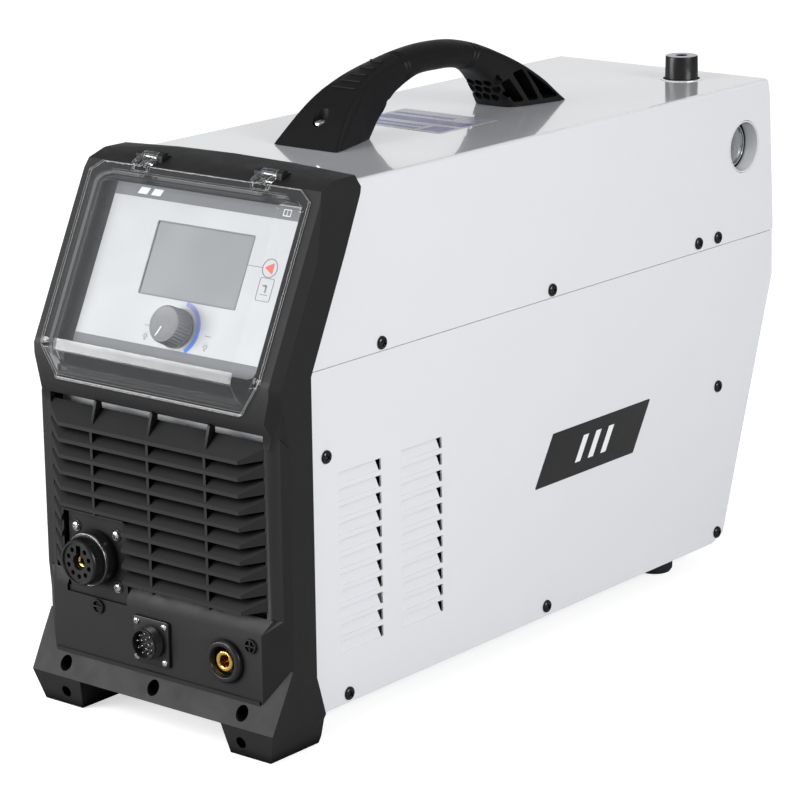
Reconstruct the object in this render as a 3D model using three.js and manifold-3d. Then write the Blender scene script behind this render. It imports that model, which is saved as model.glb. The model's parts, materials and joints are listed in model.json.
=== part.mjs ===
// Plasma cutter unit: an inverter cutting power source in a sheet-steel case with a moulded front bezel.
// Millimetres. X runs across the machine, Y from front to back and Z up from the floor.

import * as THREE from 'three';
import { ConvexGeometry } from 'three/addons/geometries/ConvexGeometry.js';
import { mergeVertices } from 'three/addons/utils/BufferGeometryUtils.js';
import Module from 'manifold-3d';

const wasm = await Module();
wasm.setup();

// ---------------------------------------------------------------- driving dimensions

const GAP = 0.3; // air between neighbouring pieces
const SHEET = 1.5; // thickness of the steel sheets

const BODY_HALF = 107; // half width over the side panels
const BODY_BOTTOM = 18;
const BODY_TOP = 400;
const SEAM = 272; // height where the top cover meets the side panels
const BODY_FRONT = -60; // front edge of the sheets, inside the bezel
const REAR_BOTTOM = [495, 24]; // lower rear corner of the side panel
const REAR_SEAM = [564, 272]; // rear end of the seam
const REAR_KNEE = [564, 234]; // where the slanted lower rear turns upright
const REAR_TOP = [556, 388]; // upper rear corner of the cover

const FACE_TILT = 26; // lean of the control face from upright, in degrees
const FACE_FOOT = [-80, 274]; // where the slanted face starts
const FACE_LENGTH = 139;
const PANEL_DEPTH = 12; // control panel below the slanted face

const BEZEL_HALF = 119.3;
const BEZEL_CHAMFER = 6.2;
const BEZEL_REAR = -37;
const BEZEL_CROWN = [404.5, 408.3]; // top of the bezel at its sides and in the middle
const FACE_Y = -82; // connector panel
const GRILLE_Y = -76.5; // rim of the grille opening
const GRILLE_HALF = 103;
const STRIP_EDGE = [115.5, -73]; // front edge of the strips beside the grille: half width and depth
const STRIP_BACK = 2; // how far the strips run on behind the side's front edge
const BLOCK_HALF = 102; // half width of the connector panel
const SHELF_Z = 92; // top of the connector panel, where the shelf below the grille starts
const GRILLE_Z = [103, 236];
const STRIP_TOP = 227; // where the strips' slanted top ends at the side, and the tapering facet begins

const SLAT_COUNT = 10;
const SLAT_PITCH = 12.2;
const SLAT_TOP = 217.6;
const SLAT_FRONT = -86;
const SLAT_BACK = -73.5;
const SLAT_TIP = 2.7; // thickness of the slat's front edge
const SLAT_BEND = 87; // where the slat turns back towards the rim
const RIB_WIDTH = 2.4;
const RIB_SPACING = 55;

const HINGE = [-9, 403.5]; // pivot of the clear cover
const HINGE_X = 57;
const LUG_HALF = 7.5;

const TORCH = [-57.6, 119.6];
const PILOT = [-2.6, 66.6];
const WORK = [68.2, 66.9];
const PILOT_SCREWS = 19.1; // distance of the small socket's corner screws from its middle

const HANDLE_SCREWS = [112, 352]; // places of the handle's screws along the cover
const REGULATOR = [49, 512]; // axis of the air regulator
const GAUGE = [518.5, 348.5]; // centre of the gauge window

const FAN_SIZE = 120;
const FAN_DEPTH = 38;
const FAN_UP = 112; // fan centre, measured along the slanted rear panel

// ---------------------------------------------------------------- materials

function finish(color, roughness, metalness, extra = {}) {
  return new THREE.MeshStandardMaterial({ color, roughness, metalness, flatShading: true, ...extra });
}

const charcoal = () => finish(0x2b2b2d, 0.62, 0);
const whitePaint = () => finish(0xe6e7ea, 0.28, 0.1);
const blackPlastic = () => finish(0x17171a, 0.45, 0);
const clearPlastic = () => finish(0xe8edf0, 0.06, 0, { transparent: true, opacity: 0.3 });
const steel = () => finish(0xb9bcc0, 0.32, 0.9);
const brass = () => finish(0xc8963c, 0.3, 0.95);
const copper = () => finish(0xb8703e, 0.35, 0.95);
const aluminium = () => finish(0xc9ccd0, 0.4, 0.85);
const circuitGreen = () => finish(0x1f5a35, 0.5, 0.05);

// ---------------------------------------------------------------- solids

const { sin, cos, PI } = Math;
const radians = THREE.MathUtils.degToRad;

// A closed geometry as a solid: vertices merged, empty triangles dropped and faces turned outwards.
function solid(geometry) {
  geometry.deleteAttribute('normal');
  geometry.deleteAttribute('uv');
  const merged = mergeVertices(geometry, 1e-4);
  const points = merged.attributes.position;
  const triangles = [];
  const [a, b, c] = [new THREE.Vector3(), new THREE.Vector3(), new THREE.Vector3()];
  let volume = 0;
  for (let i = 0; i < merged.index.count; i += 3) {
    const [p, q, r] = [0, 1, 2].map((k) => merged.index.getX(i + k));
    if (p === q || q === r || r === p) continue;
    triangles.push([p, q, r]);
    a.fromBufferAttribute(points, p);
    b.fromBufferAttribute(points, q);
    c.fromBufferAttribute(points, r);
    volume += a.dot(b.cross(c));
  }
  const outward = volume < 0 ? triangles.map(([p, q, r]) => [p, r, q]) : triangles;
  return new wasm.Manifold(new wasm.Mesh({
    numProp: 3,
    vertProperties: Float32Array.from(points.array),
    triVerts: Uint32Array.from(outward.flat()),
  }));
}

function join(...solids) {
  return solids.reduce((whole, next) => whole.add(next));
}

function cut(body, ...tools) {
  return tools.reduce((rest, tool) => rest.subtract(tool), body);
}

// Both mirror images of a geometry across the machine's middle plane, joined.
function mirrored(makeGeometry) {
  const left = makeGeometry().applyMatrix4(new THREE.Matrix4().makeScale(-1, 1, 1));
  return join(solid(makeGeometry()), solid(left));
}

const X = new THREE.Vector3(1, 0, 0);
const Y = new THREE.Vector3(0, 1, 0);
const Z = new THREE.Vector3(0, 0, 1);
const SIDE_VIEW = new THREE.Matrix4().makeBasis(Y, Z, X);
const FRONT_VIEW = new THREE.Matrix4().makeBasis(X, Z, Y.clone().negate());

function outlineShape(points) {
  return new THREE.Shape(points.map(([u, v]) => new THREE.Vector2(u, v)));
}

function slabGeometry(points, depth, bevel) {
  const options = { depth, bevelEnabled: false, curveSegments: 8, ...bevel };
  return new THREE.ExtrudeGeometry(outlineShape(points), options);
}

// A (y, z) outline carried across the machine.
function acrossGeometry(points, x0, x1, bevel = {}) {
  return slabGeometry(points, x1 - x0, bevel).applyMatrix4(SIDE_VIEW).translate(x0, 0, 0);
}
const across = (points, x0, x1, bevel) => solid(acrossGeometry(points, x0, x1, bevel));

// An (x, z) outline carried from y0 back to y1.
function alongGeometry(points, y0, y1) {
  return slabGeometry(points, y1 - y0).applyMatrix4(FRONT_VIEW).translate(0, y1, 0);
}
const along = (points, y0, y1) => solid(alongGeometry(points, y0, y1));

// An (x, y) outline carried from z0 up to z1.
function upGeometry(points, z0, z1) {
  return slabGeometry(points, z1 - z0).translate(0, 0, z0);
}
const up = (points, z0, z1) => solid(upGeometry(points, z0, z1));

function block(x0, x1, y0, y1, z0, z1) {
  const box = new THREE.BoxGeometry(x1 - x0, y1 - y0, z1 - z0);
  return solid(box.translate((x0 + x1) / 2, (y0 + y1) / 2, (z0 + z1) / 2));
}

// A round bar along the named axis, between two places on it, through (a, b) on the other two axes.
function bar(axis, radius, from, to, a = 0, b = 0, segments = 14) {
  const cylinder = new THREE.CylinderGeometry(radius, radius, to - from, segments);
  const middle = (from + to) / 2;
  if (axis === 'x') return solid(cylinder.rotateZ(PI / 2).translate(middle, a, b));
  if (axis === 'y') return solid(cylinder.translate(a, middle, b));
  return solid(cylinder.rotateX(PI / 2).translate(a, b, middle));
}

// A large block that lies on the plane through three points, on the side they turn anticlockwise towards.
function slabBeyond(a, b, c) {
  const [p, q, r] = [a, b, c].map((point) => new THREE.Vector3(...point));
  const along = q.clone().sub(p).normalize();
  const normal = along.clone().cross(r.sub(p)).normalize();
  const basis = new THREE.Matrix4().makeBasis(along, normal.clone().cross(along), normal).setPosition(p);
  const [reach, depth] = [400, 60];
  return new THREE.BoxGeometry(reach, reach, depth).translate(0, 0, depth / 2).applyMatrix4(basis);
}

// A (radius, height) profile turned about Z.
function turned(profile, segments = 22) {
  const points = profile.map(([r, h]) => new THREE.Vector2(r, h));
  return solid(new THREE.LatheGeometry(points, segments).rotateX(PI / 2));
}

// A ring of rectangular section about Z.
function ring(outer, inner, z0, z1, segments = 22) {
  return turned([[inner, z0], [outer, z0], [outer, z1], [inner, z1], [inner, z0]], segments);
}

function roundedOutline(halfX, halfY, radius, steps = 3, cx = 0, cy = 0) {
  const points = [];
  [[1, 1], [-1, 1], [-1, -1], [1, -1]].forEach(([sx, sy], quarter) => {
    for (let i = 0; i <= steps; i += 1) {
      const angle = (quarter + i / steps) * PI / 2;
      const x = cx + sx * (halfX - radius) + radius * cos(angle);
      points.push([x, cy + sy * (halfY - radius) + radius * sin(angle)]);
    }
  });
  return points;
}

function onCircle(count, radius, turn = 0) {
  return Array.from({ length: count }, (_, i) => {
    const angle = turn + (i / count) * 2 * PI;
    return [radius * cos(angle), radius * sin(angle)];
  });
}

// ---------------------------------------------------------------- scene graph

const machine = new THREE.Group();

function add(name, body, material, parent = machine) {
  const { vertProperties, triVerts } = body.getMesh();
  const geometry = new THREE.BufferGeometry();
  geometry.setAttribute('position', new THREE.BufferAttribute(vertProperties, 3));
  geometry.setIndex(new THREE.BufferAttribute(triVerts, 1));
  const mesh = new THREE.Mesh(geometry, material);
  mesh.name = name;
  parent.add(mesh);
  return mesh;
}

// A group whose local Z points out of a surface that faces along +Z turned by `turn` degrees about X.
function mountedGroup(x, y, z, turn) {
  const group = new THREE.Group();
  group.position.set(x, y, z);
  group.rotation.x = radians(turn);
  machine.add(group);
  return group;
}

// Local x across, y up the slanted control face, z out of it.
const faceTurn = 90 - FACE_TILT;
const face = mountedGroup(0, FACE_FOOT[0], FACE_FOOT[1], faceTurn);

// The same frame, for cutting machine-frame solids with shapes drawn on the face.
function onFace(geometry) {
  return geometry.rotateX(radians(faceTurn)).translate(0, FACE_FOOT[0], FACE_FOOT[1]);
}

// A point of the middle plane at height h over the face and s along it, as (y, z).
function facePoint(h, s) {
  const tilt = radians(FACE_TILT);
  return [FACE_FOOT[0] + s * sin(tilt) - h * cos(tilt), FACE_FOOT[1] + s * cos(tilt) + h * sin(tilt)];
}

// Local x across, y up, z out of the front.
const frontMount = ([x, z], y = FACE_Y) => mountedGroup(x, y, z, 90);

// ---------------------------------------------------------------- front bezel

const FOOT = { front: -85.6, rear: -33.8, inner: [73.6, 69.5], outer: 111.4, arch: 23 };
const BAND = { kink: [-91.4, 23.2], top: [-82, 40.4], side: [-68.9, 65.5], half: 118.6 };
const EDGE_Y = -67.5; // where the corner facets meet the bezel's side
const LEDGE = { half: 100, front: -83.2, z: [40, 42.6] }; // fine step along the foot of the connector panel
const OPENING = { half: 98.5, s: [1.5, 128.5], collar: 3 };

function bezelBlank() {
  const profile = [
    [FOOT.front, 0], BAND.kink, BAND.top, [FACE_Y, SHELF_Z], [GRILLE_Y, GRILLE_Z[0]], [GRILLE_Y, GRILLE_Z[1]],
    [-81, 246], [-81, 272], facePoint(0, 3), facePoint(0, FACE_LENGTH), [-5, 404], [16.6, 408.5],
    [22.5, 396], [BEZEL_REAR, SEAM], [BEZEL_REAR, 48], [-30, 20], [FOOT.rear, 0],
  ];
  const bevel = {
    bevelEnabled: true, bevelThickness: BEZEL_CHAMFER, bevelSize: BEZEL_CHAMFER,
    bevelOffset: -BEZEL_CHAMFER, bevelSegments: 1,
  };
  const inner = BEZEL_HALF - BEZEL_CHAMFER;
  const blank = across(profile, -inner, inner, bevel);
  const crown = Array.from({ length: 9 }, (_, i) => {
    const t = 1 - i / 4;
    return [110 * t, BEZEL_CROWN[1] - (BEZEL_CROWN[1] - BEZEL_CROWN[0]) * t * t];
  });
  const outline = [
    [-FOOT.outer, 0], [FOOT.outer, 0], [BAND.half, BAND.kink[1]], [BEZEL_HALF, 48], [BEZEL_HALF, 354],
    [114.5, 386], ...crown, [-114.5, 386], [-BEZEL_HALF, 354], [-BEZEL_HALF, 48], [-BAND.half, BAND.kink[1]],
  ];
  const footProfile = [
    [FOOT.front, 0], BAND.kink, BAND.side, [-45, 65.5], [-43.6, 55], [-33.4, 23.5], [-41.7, 0],
  ];
  const foot = across(footProfile, -BEZEL_HALF, BEZEL_HALF);
  return join(cut(blank, ...bezelCorners()), foot, cornerFacets()).intersect(along(outline, -100, 40));
}

// Corner cuts: beside the connector panel, room for the strips beside the grille, and the tapering facet.
function bezelCorners() {
  const outside = 130;
  const besidePlan = [
    [BLOCK_HALF, FACE_Y], [BEZEL_HALF + 0.1, EDGE_Y], [outside, EDGE_Y], [outside, -100], [BLOCK_HALF, -100],
  ];
  const beside = upGeometry(besidePlan, 0, GRILLE_Z[0]);
  const taper = () => slabBeyond([115.6, -81, 275], [107.9, -81, 245], [119.3, -72.3, 249.5]);
  const above = block(-outside, outside, -100, -40, STRIP_TOP, FACE_FOOT[1]);
  const front = GRILLE_HALF + 2.5;
  const besideGrille = [
    [front, GRILLE_Y], [STRIP_EDGE[0] - 0.5, STRIP_EDGE[1] + 0.5], [BEZEL_HALF + 0.1, EDGE_Y + 0.5],
    [outside, EDGE_Y], [outside, -100], [front, -100],
  ];
  const stripRoom = upGeometry(besideGrille, GRILLE_Z[0], STRIP_TOP);
  return [
    mirrored(() => beside.clone()), mirrored(() => stripRoom.clone()), mirrored(taper).intersect(above),
  ];
}

// Strips beside the grille that reach out to the side, cut off aslant above, over a small shelf corner below.
function cornerFacets() {
  const [low, high] = GRILLE_Z;
  const root = 96; // how far the strips reach in behind the grille's rim
  const plan = [
    [root, GRILLE_Y], [GRILLE_HALF + 2, GRILLE_Y], STRIP_EDGE, [BEZEL_HALF, EDGE_Y],
    [BEZEL_HALF, EDGE_Y + STRIP_BACK], [root, EDGE_Y + STRIP_BACK],
  ];
  const strip = () => upGeometry(plan, low, high + 10);
  const overStrip = () => slabBeyond([103.8, GRILLE_Y, 243.8], [...STRIP_EDGE, 234.9],
    [BEZEL_HALF, EDGE_Y, STRIP_TOP]);
  const shelf = () => new ConvexGeometry([
    [BLOCK_HALF, FACE_Y, SHELF_Z], [...STRIP_EDGE, low],
    [BEZEL_HALF, EDGE_Y, 80], [BEZEL_HALF, EDGE_Y, low + 3],
    [root, FACE_Y, SHELF_Z], [root, GRILLE_Y, low], [root, EDGE_Y, 80], [root, EDGE_Y, low + 3],
  ].map((point) => new THREE.Vector3(...point)));
  const [ledgeLow, ledgeHigh] = LEDGE.z;
  const ledgeProfile = [
    [LEDGE.front, ledgeLow], [LEDGE.front, ledgeHigh], [FACE_Y, ledgeHigh + 0.8],
    [-80, ledgeHigh], [-80, ledgeLow],
  ];
  const ledge = across(ledgeProfile, -LEDGE.half, LEDGE.half);
  return join(cut(mirrored(strip), mirrored(overStrip)), mirrored(shelf), ledge);
}

function bezelCavity() {
  const inside = 77.3;
  const profile = [
    [-inside, BODY_BOTTOM - GAP], [-inside, 96], [SLAT_BACK + 0.6, 104], [SLAT_BACK + 0.6, 240],
    [-inside, 247], [-inside, 272], facePoint(-4, 2), facePoint(-4, 128), [-11, 393.5], [6, 393.5],
    [6, BODY_TOP + GAP], [60, BODY_TOP + GAP], [60, BODY_BOTTOM - GAP],
  ];
  const half = BODY_HALF + GAP;
  const pocket = [[-63, 50], [-63, 106], [-66, 112], [-66, 236], facePoint(-7, 4), facePoint(-7, 112),
    facePoint(-32, 118), facePoint(-32, 0), [-45, 262], [-45, 50]];
  return join(across(profile, -half, half), across(pocket, -BEZEL_HALF + 4, BEZEL_HALF - 4));
}

function windowCollar() {
  const [low, high] = OPENING.s;
  const { half, collar } = OPENING;
  const outline = roundedOutline(half + collar, (high - low) / 2 + collar, 8, 2, 0, (low + high) / 2);
  return solid(onFace(slabGeometry(outline, PANEL_DEPTH - 2).translate(0, 0, -PANEL_DEPTH)));
}

function windowOpening() {
  const [low, high] = OPENING.s;
  const outline = roundedOutline(OPENING.half, (high - low) / 2, 6, 2, 0, (low + high) / 2);
  return solid(onFace(slabGeometry(outline, 60).translate(0, 0, -40)));
}

// Wedge slats whose ends are cut back in plan, and the upright ribs that tie them together.
function grille() {
  const rise = (y) => (y - SLAT_FRONT) * 1.05;
  const fall = (y) => (y - SLAT_FRONT) * 0.42 - SLAT_TIP;
  const tops = Array.from({ length: SLAT_COUNT }, (_, i) => SLAT_TOP - i * SLAT_PITCH);
  const slats = tops.map((z) => across([
    [SLAT_FRONT, z - SLAT_TIP], [SLAT_FRONT, z],
    [SLAT_BACK, z + rise(SLAT_BACK)], [SLAT_BACK, z + fall(SLAT_BACK)],
  ], -GRILLE_HALF - 1, GRILLE_HALF + 1));
  const ribs = [-1, 0, 1].map((side) => across([
    [SLAT_FRONT + 1, GRILLE_Z[0] - 0.5], [SLAT_FRONT + 1, SLAT_TOP - 2], [-79, 236.5], [SLAT_BACK, 236.5],
    [SLAT_BACK, GRILLE_Z[0] - 0.5],
  ], side * RIB_SPACING - RIB_WIDTH / 2, side * RIB_SPACING + RIB_WIDTH / 2));
  const chevron = up([
    [-GRILLE_HALF - 2, GRILLE_Y + 0.6], [-SLAT_BEND, SLAT_FRONT - 0.01], [SLAT_BEND, SLAT_FRONT - 0.01],
    [GRILLE_HALF + 2, GRILLE_Y + 0.6], [GRILLE_HALF + 2, -60], [-GRILLE_HALF - 2, -60],
  ], 90, 250);
  return join(...slats, ...ribs).intersect(chevron);
}

const TORCH_PLATE = { x: [-88, -28], z: [88, 152], rim: 1.6, slit: 2.6, back: -80.2 };

function hingeBosses() {
  const boss = (x0, x1) => bar('x', 4, x0, x1, ...HINGE, 12);
  const web = (x0, x1) => across([[-14, 398], [-12.5, 405], [-3, 405], [4, 398]], x0, x1);
  const pairs = [-1, 1].flatMap((side) => [-1, 1].map((end) => {
    const inner = side * HINGE_X + end * (LUG_HALF + GAP);
    const outer = inner + end * 5;
    const [x0, x1] = [Math.min(inner, outer), Math.max(inner, outer)];
    return join(boss(x0, x1), web(x0, x1));
  }));
  return join(...pairs);
}

function hingeNotches() {
  const reach = LUG_HALF + GAP;
  return [-1, 1].flatMap((side) => {
    const x = side * HINGE_X;
    const slot = across([[-30, 390], [-30, 420], [4, 420], [0, 398.4], [-18, 397.6]], x - reach, x + reach);
    const bore = bar('x', 1.8, x - reach - 4, x + reach + 4, ...HINGE, 12);
    return [slot, bore];
  });
}

function bezelHoles() {
  const band = [-88, 0, 86].map((x) => bar('y', 5.5, -95, -78, x, 32.5, 16));
  const feet = [-87, 86].map((x) => bar('y', 4.5, -95, -78, x, 11, 16));
  return [...band, ...feet];
}

function socketHoles() {
  return [
    bar('y', 16.3, -90, -60, ...TORCH, 20),
    bar('y', 12.8, -90, -60, ...PILOT, 18),
    bar('y', 12.8, -90, -60, ...WORK, 18),
  ];
}

function frontBezel() {
  const arch = along([[-FOOT.inner[1], FOOT.arch], [-FOOT.inner[0], -1], [FOOT.inner[0], -1],
    [FOOT.inner[1], FOOT.arch]], -100, 40);
  const opening = block(-GRILLE_HALF, GRILLE_HALF, -90, -60, GRILLE_Z[0], GRILLE_Z[1]);
  const shell = cut(bezelBlank(), bezelCavity(), arch, opening);
  const [px, pz] = [TORCH_PLATE.x, TORCH_PLATE.z];
  const slats = cut(grille(), block(px[0], px[1], -95, -60, 90, pz[1]));
  const { rim, slit, back } = TORCH_PLATE;
  const plate = block(px[0], px[1], back, SLAT_BACK, pz[0], pz[1]);
  const leftRim = block(px[0] - rim, px[0], FACE_Y - 1, SLAT_BACK, GRILLE_Z[0], pz[1]);
  const topRim = block(px[0] - rim, px[1], FACE_Y - 1, SLAT_BACK, pz[1] - rim, pz[1]);
  const besideRim = block(px[0], px[0] + slit, -90, SLAT_BACK - 1.6, SHELF_Z, pz[1] - rim);
  const shadowSlit = block(px[0], px[1], -90, back, pz[0], pz[1] - rim);
  const recessed = cut(join(shell, plate), besideRim, shadowSlit);
  const whole = join(recessed, windowCollar(), slats, leftRim, topRim, hingeBosses());
  return cut(whole, windowOpening(), ...hingeNotches(), ...bezelHoles(), ...socketHoles());
}

add('front_bezel', frontBezel(), charcoal());

// White sheet behind the grille that carries the connectors from inside.
function innerFrontPlate() {
  const outline = [[-105, 30], [105, 30], [105, 246], [-105, 246]];
  const plate = along(outline, -60, -60 + SHEET);
  const returnFlange = block(-105, 105, -60, -44, 246 - SHEET, 246);
  const holes = [bar('y', 14, -70, -50, ...TORCH, 20), bar('y', 13, -70, -50, ...PILOT, 20),
    bar('y', 9, -70, -50, ...WORK, 20)];
  return cut(join(plate, returnFlange), ...holes);
}

add('inner_front_plate', innerFrontPlate(), whitePaint());

// ---------------------------------------------------------------- control panel, on the slanted face

const DISPLAY = { half: [45.7, 26.6], centre: [7.4, 76.2] };
const KNOB = { centre: [7, 28.5], radius: 14.5, front: 3.6, floor: -11.2 };
const panelTop = -PANEL_DEPTH - GAP;

function controlPanel() {
  const outline = roundedOutline(OPENING.half + OPENING.collar + 1, 67, 4, 2, 0, 64);
  const sheet = solid(slabGeometry(outline, 2).translate(0, 0, panelTop - 2));
  const [hx, hy] = DISPLAY.half;
  const [cx, cy] = DISPLAY.centre;
  const cutout = block(cx - hx - GAP, cx + hx + GAP, cy - hy - GAP, cy + hy + GAP, -30, 0);
  return cut(sheet, cutout, bar('z', 4, -30, 0, ...KNOB.centre));
}

function lcdDisplay() {
  const [hx, hy] = DISPLAY.half;
  const [cx, cy] = DISPLAY.centre;
  const glass = block(cx - hx, cx + hx, cy - hy, cy + hy, panelTop - 4, panelTop - 0.6);
  const module = block(cx - hx - 5, cx + hx + 5, cy - hy - 4, cy + hy + 4, panelTop - 9, panelTop - 3);
  return join(glass, module);
}

function encoderBody() {
  const [cx, cy] = KNOB.centre;
  const housing = block(cx - 6.5, cx + 6.5, cy - 6.5, cy + 6.5, panelTop - 9, panelTop - 2 - GAP);
  const bush = bar('z', 3.5, panelTop - 5, panelTop + 0.2, cx, cy, 16);
  const pins = block(cx - 5, cx + 5, cy - 8.5, cy + 8.5, panelTop - 9, panelTop - 8);
  return cut(join(housing, bush, pins), bar('z', 2.6, panelTop - 7.4, 0, cx, cy, 16),
    bar('z', 1.6, panelTop - 12, 0, cx, cy, 12));
}

// The push switch's plunger slides in the encoder body and the shaft stands on it.
function encoderPlunger() {
  const [cx, cy] = KNOB.centre;
  return bar('z', 1.3, panelTop - 8.6, panelTop - 5, cx, cy, 12);
}

function encoderShaft() {
  const [cx, cy] = KNOB.centre;
  return bar('z', 2.3, panelTop - 5 + GAP, -1.2, cx, cy, 14);
}

function controlKnob() {
  const { radius, front, floor } = KNOB;
  const flutes = 20;
  const outline = onCircle(flutes * 2, 1).map(([c, s], i) => {
    const r = radius - (i % 2 ? 0.55 : 0);
    return [r * c, r * s];
  });
  const skirt = solid(slabGeometry(outline, front - 2.4 - floor).translate(0, 0, floor));
  const crown = turned([[0, front - 3], [radius - 0.7, front - 3], [radius - 0.7, front - 1.6],
    [radius - 2.4, front], [0, front]], 24);
  const shaftHole = bar('z', 2.6, floor - 1, -0.9, 0, 0, 14);
  const hollow = ring(radius - 2.2, 5.2, floor - 1, front - 3.4, 16);
  return cut(join(skirt, crown), shaftHole, hollow);
}

add('control_panel', controlPanel(), finish(0xd9dadd, 0.4, 0.2), face);
add('lcd_display', lcdDisplay(), finish(0xa9abac, 0.25, 0), face);
add('encoder_body', encoderBody(), steel(), face);
add('encoder_plunger', encoderPlunger(), blackPlastic(), face);
add('encoder_shaft', encoderShaft(), aluminium(), face);
const knob = add('control_knob', controlKnob(), finish(0x8f9093, 0.5, 0.2), face);
knob.position.set(KNOB.centre[0], KNOB.centre[1], 0);

function controlBoard() {
  const board = block(-80, 80, 2, 118, panelTop - 13.6, panelTop - 12);
  const [cx, cy] = DISPLAY.centre;
  const chips = [[-62, 30], [-62, 60], [cx + 40, cy - 48]].map(([x, y]) =>
    block(x - 7, x + 7, y - 7, y + 7, panelTop - 12.1, panelTop - 10));
  const spacers = [[-72, 8], [72, 8], [-72, 112], [72, 112]].map(([x, y]) =>
    bar('z', 2.5, panelTop - 12.1, panelTop - 2 - GAP, x, y, 10));
  return join(board, ...chips, ...spacers);
}

add('control_board', controlBoard(), circuitGreen(), face);

// ---------------------------------------------------------------- clear cover

const COVER = {
  half: 105, top: 138, corner: [10.5, 7.7], foot: [88.5, 249.5], wall: 2.2, lift: 9.8,
  domeHalf: 84.8, domeTop: 124, domeFoot: 256.5, sideSlope: 2,
};

// The raised part of the cover, closed at height `base` over the face, its walls moved in by `inset`.
function coverDome(inset, base) {
  const { lift, domeHalf, domeTop, domeFoot, sideSlope } = COVER;
  const back = FACE_Y + 0.6 - base;
  const low = [FACE_Y - 1.6, domeFoot + inset * 1.6];
  const profile = [
    low, [-90.8 + inset, 274 + inset * 0.3], facePoint(lift - inset, domeTop - inset * 0.5),
    facePoint(base, domeTop + 9 - inset), facePoint(base, 1), [back, 273], [back, low[1]],
  ];
  const [deep, shallow] = [-8, lift + 2];
  const halfAt = (h) => domeHalf - inset + (lift - h) * sideSlope;
  const sides = [
    [-halfAt(deep), deep], [-halfAt(shallow), shallow], [halfAt(shallow), shallow], [halfAt(deep), deep],
  ];
  const wedge = slabGeometry(sides, 220).rotateX(PI / 2).translate(0, 170, 0);
  const widest = COVER.half - 2 - inset;
  return across(profile, -widest, widest).intersect(solid(onFace(wedge)));
}

function coverFlange() {
  const { half, top, corner: [cx, cs], foot: [footHalf, footZ] } = COVER;
  const outline = [
    [-half, 0], [half, 0], [half, top - cs], [half - cx, top], [-half + cx, top], [-half, top - cs],
  ];
  const upper = solid(onFace(slabGeometry(outline, COVER.wall).translate(0, 0, 0.4)));
  const leaf = [[-half, 275.4], [-footHalf, footZ], [footHalf, footZ], [half, 275.4]];
  const lower = along(leaf, FACE_Y - 1.6, -81.4);
  const bend = across([[-81.4, 270], [-83.6, 270], [-83.6, 272.6], facePoint(2.6, 3), facePoint(0.4, 3),
    [-81.4, 272.2]], -half + 2, half - 2);
  return join(upper, lower, bend);
}

function coverLugs() {
  const lugs = [-1, 1].map((side) => {
    const x = side * HINGE_X;
    const knuckle = bar('x', 3.9, x - LUG_HALF, x + LUG_HALF, ...HINGE, 16);
    const profile = [
      facePoint(0.6, 133), facePoint(2.6, 132), facePoint(6.2, 140), [-9, 407.3], [-11, 402], [-18, 399.7],
    ];
    const arm = across(profile, x - LUG_HALF, x + LUG_HALF);
    return cut(join(knuckle, arm), bar('x', 1.8, x - 20, x + 20, ...HINGE, 12));
  });
  return join(...lugs);
}

function clearCover() {
  const shell = cut(join(coverFlange(), coverDome(0, 0.4)), coverDome(COVER.wall, -6));
  return join(shell, coverLugs());
}

add('clear_cover', clearCover(), clearPlastic());
[['left', -1], ['right', 1]].forEach(([name, side]) => {
  const x = side * HINGE_X;
  const pin = bar('x', 1.5, x - LUG_HALF - 4, x + LUG_HALF + 4, ...HINGE, 12);
  add(`cover_hinge_pin_${name}`, pin, steel());
});

// ---------------------------------------------------------------- connectors

function torchSocketBody() {
  const ringFoot = FACE_Y - TORCH_PLATE.back + GAP; // the base ring rests on the recessed plate
  const shell = turned([
    [0, -26], [13.6, -26], [13.6, -9], [16, -9], [16, ringFoot], [20.5, ringFoot], [20.5, 8], [19.8, 9.4],
    [17.5, 9.4], [17.5, 17.6], [15.8, 19], [12.8, 19], [12.8, 17.4], [0, 17.4],
  ], 20);
  const pinHoles = onCircle(9, 10.4, PI / 2 + PI / 9).map(([x, y]) => bar('z', 1.6, 12, 20, x, y, 6));
  const keyway = block(-2, 2, 4, 9.6, 10.4, 20);
  return cut(shell, ...pinHoles, keyway, bar('z', 5.5, -30, 20, 0, 0, 20));
}

function torchSocketContact() {
  const tube = turned([[0, -34], [4.9, -34], [4.9, 15.2], [3.2, 15.2], [3.2, -12], [0, -12]], 20);
  const nut = solid(slabGeometry(onCircle(6, 9), 6).translate(0, 0, -33));
  return join(tube, nut);
}

function controlSocket() {
  const flange = solid(slabGeometry(roundedOutline(17.4, 17.4, 3, 2), 2.4).translate(0, 0, GAP));
  const barrel = turned([[0, -24], [12.3, -24], [12.3, 10.6], [11.6, 11], [10.4, 11], [10.4, 5], [0, 5]], 20);
  const key = block(-1.2, 1.2, 9.4, 10.9, 4, 10.4);
  const bosses = onCircle(4, PILOT_SCREWS, PI / 4).map(([x, y]) => bar('z', 2.9, 2, 4.2, x, y, 8));
  return join(flange, barrel, key, ...bosses);
}

function workSocketHousing() {
  return turned([[8.1, -22], [12.5, -22], [12.5, GAP], [16, GAP], [16, 3.4], [14.6, 4.6], [11.4, 4.6],
    [11.4, -8], [8.1, -8], [8.1, -22]], 20);
}

function workSocketInsert() {
  const insert = turned([[4.5, -26], [7.7, -26], [7.7, 1.6], [7, 2.4], [4.5, 2.4], [4.5, -26]], 16);
  const tail = turned([[0, -36], [4.2, -36], [4.2, -27], [7.7, -27], [7.7, -25], [0, -25]], 16);
  const keySlot = block(-1.4, 1.4, 4, 5.9, -20, 3);
  return cut(join(insert, tail), keySlot);
}

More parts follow.
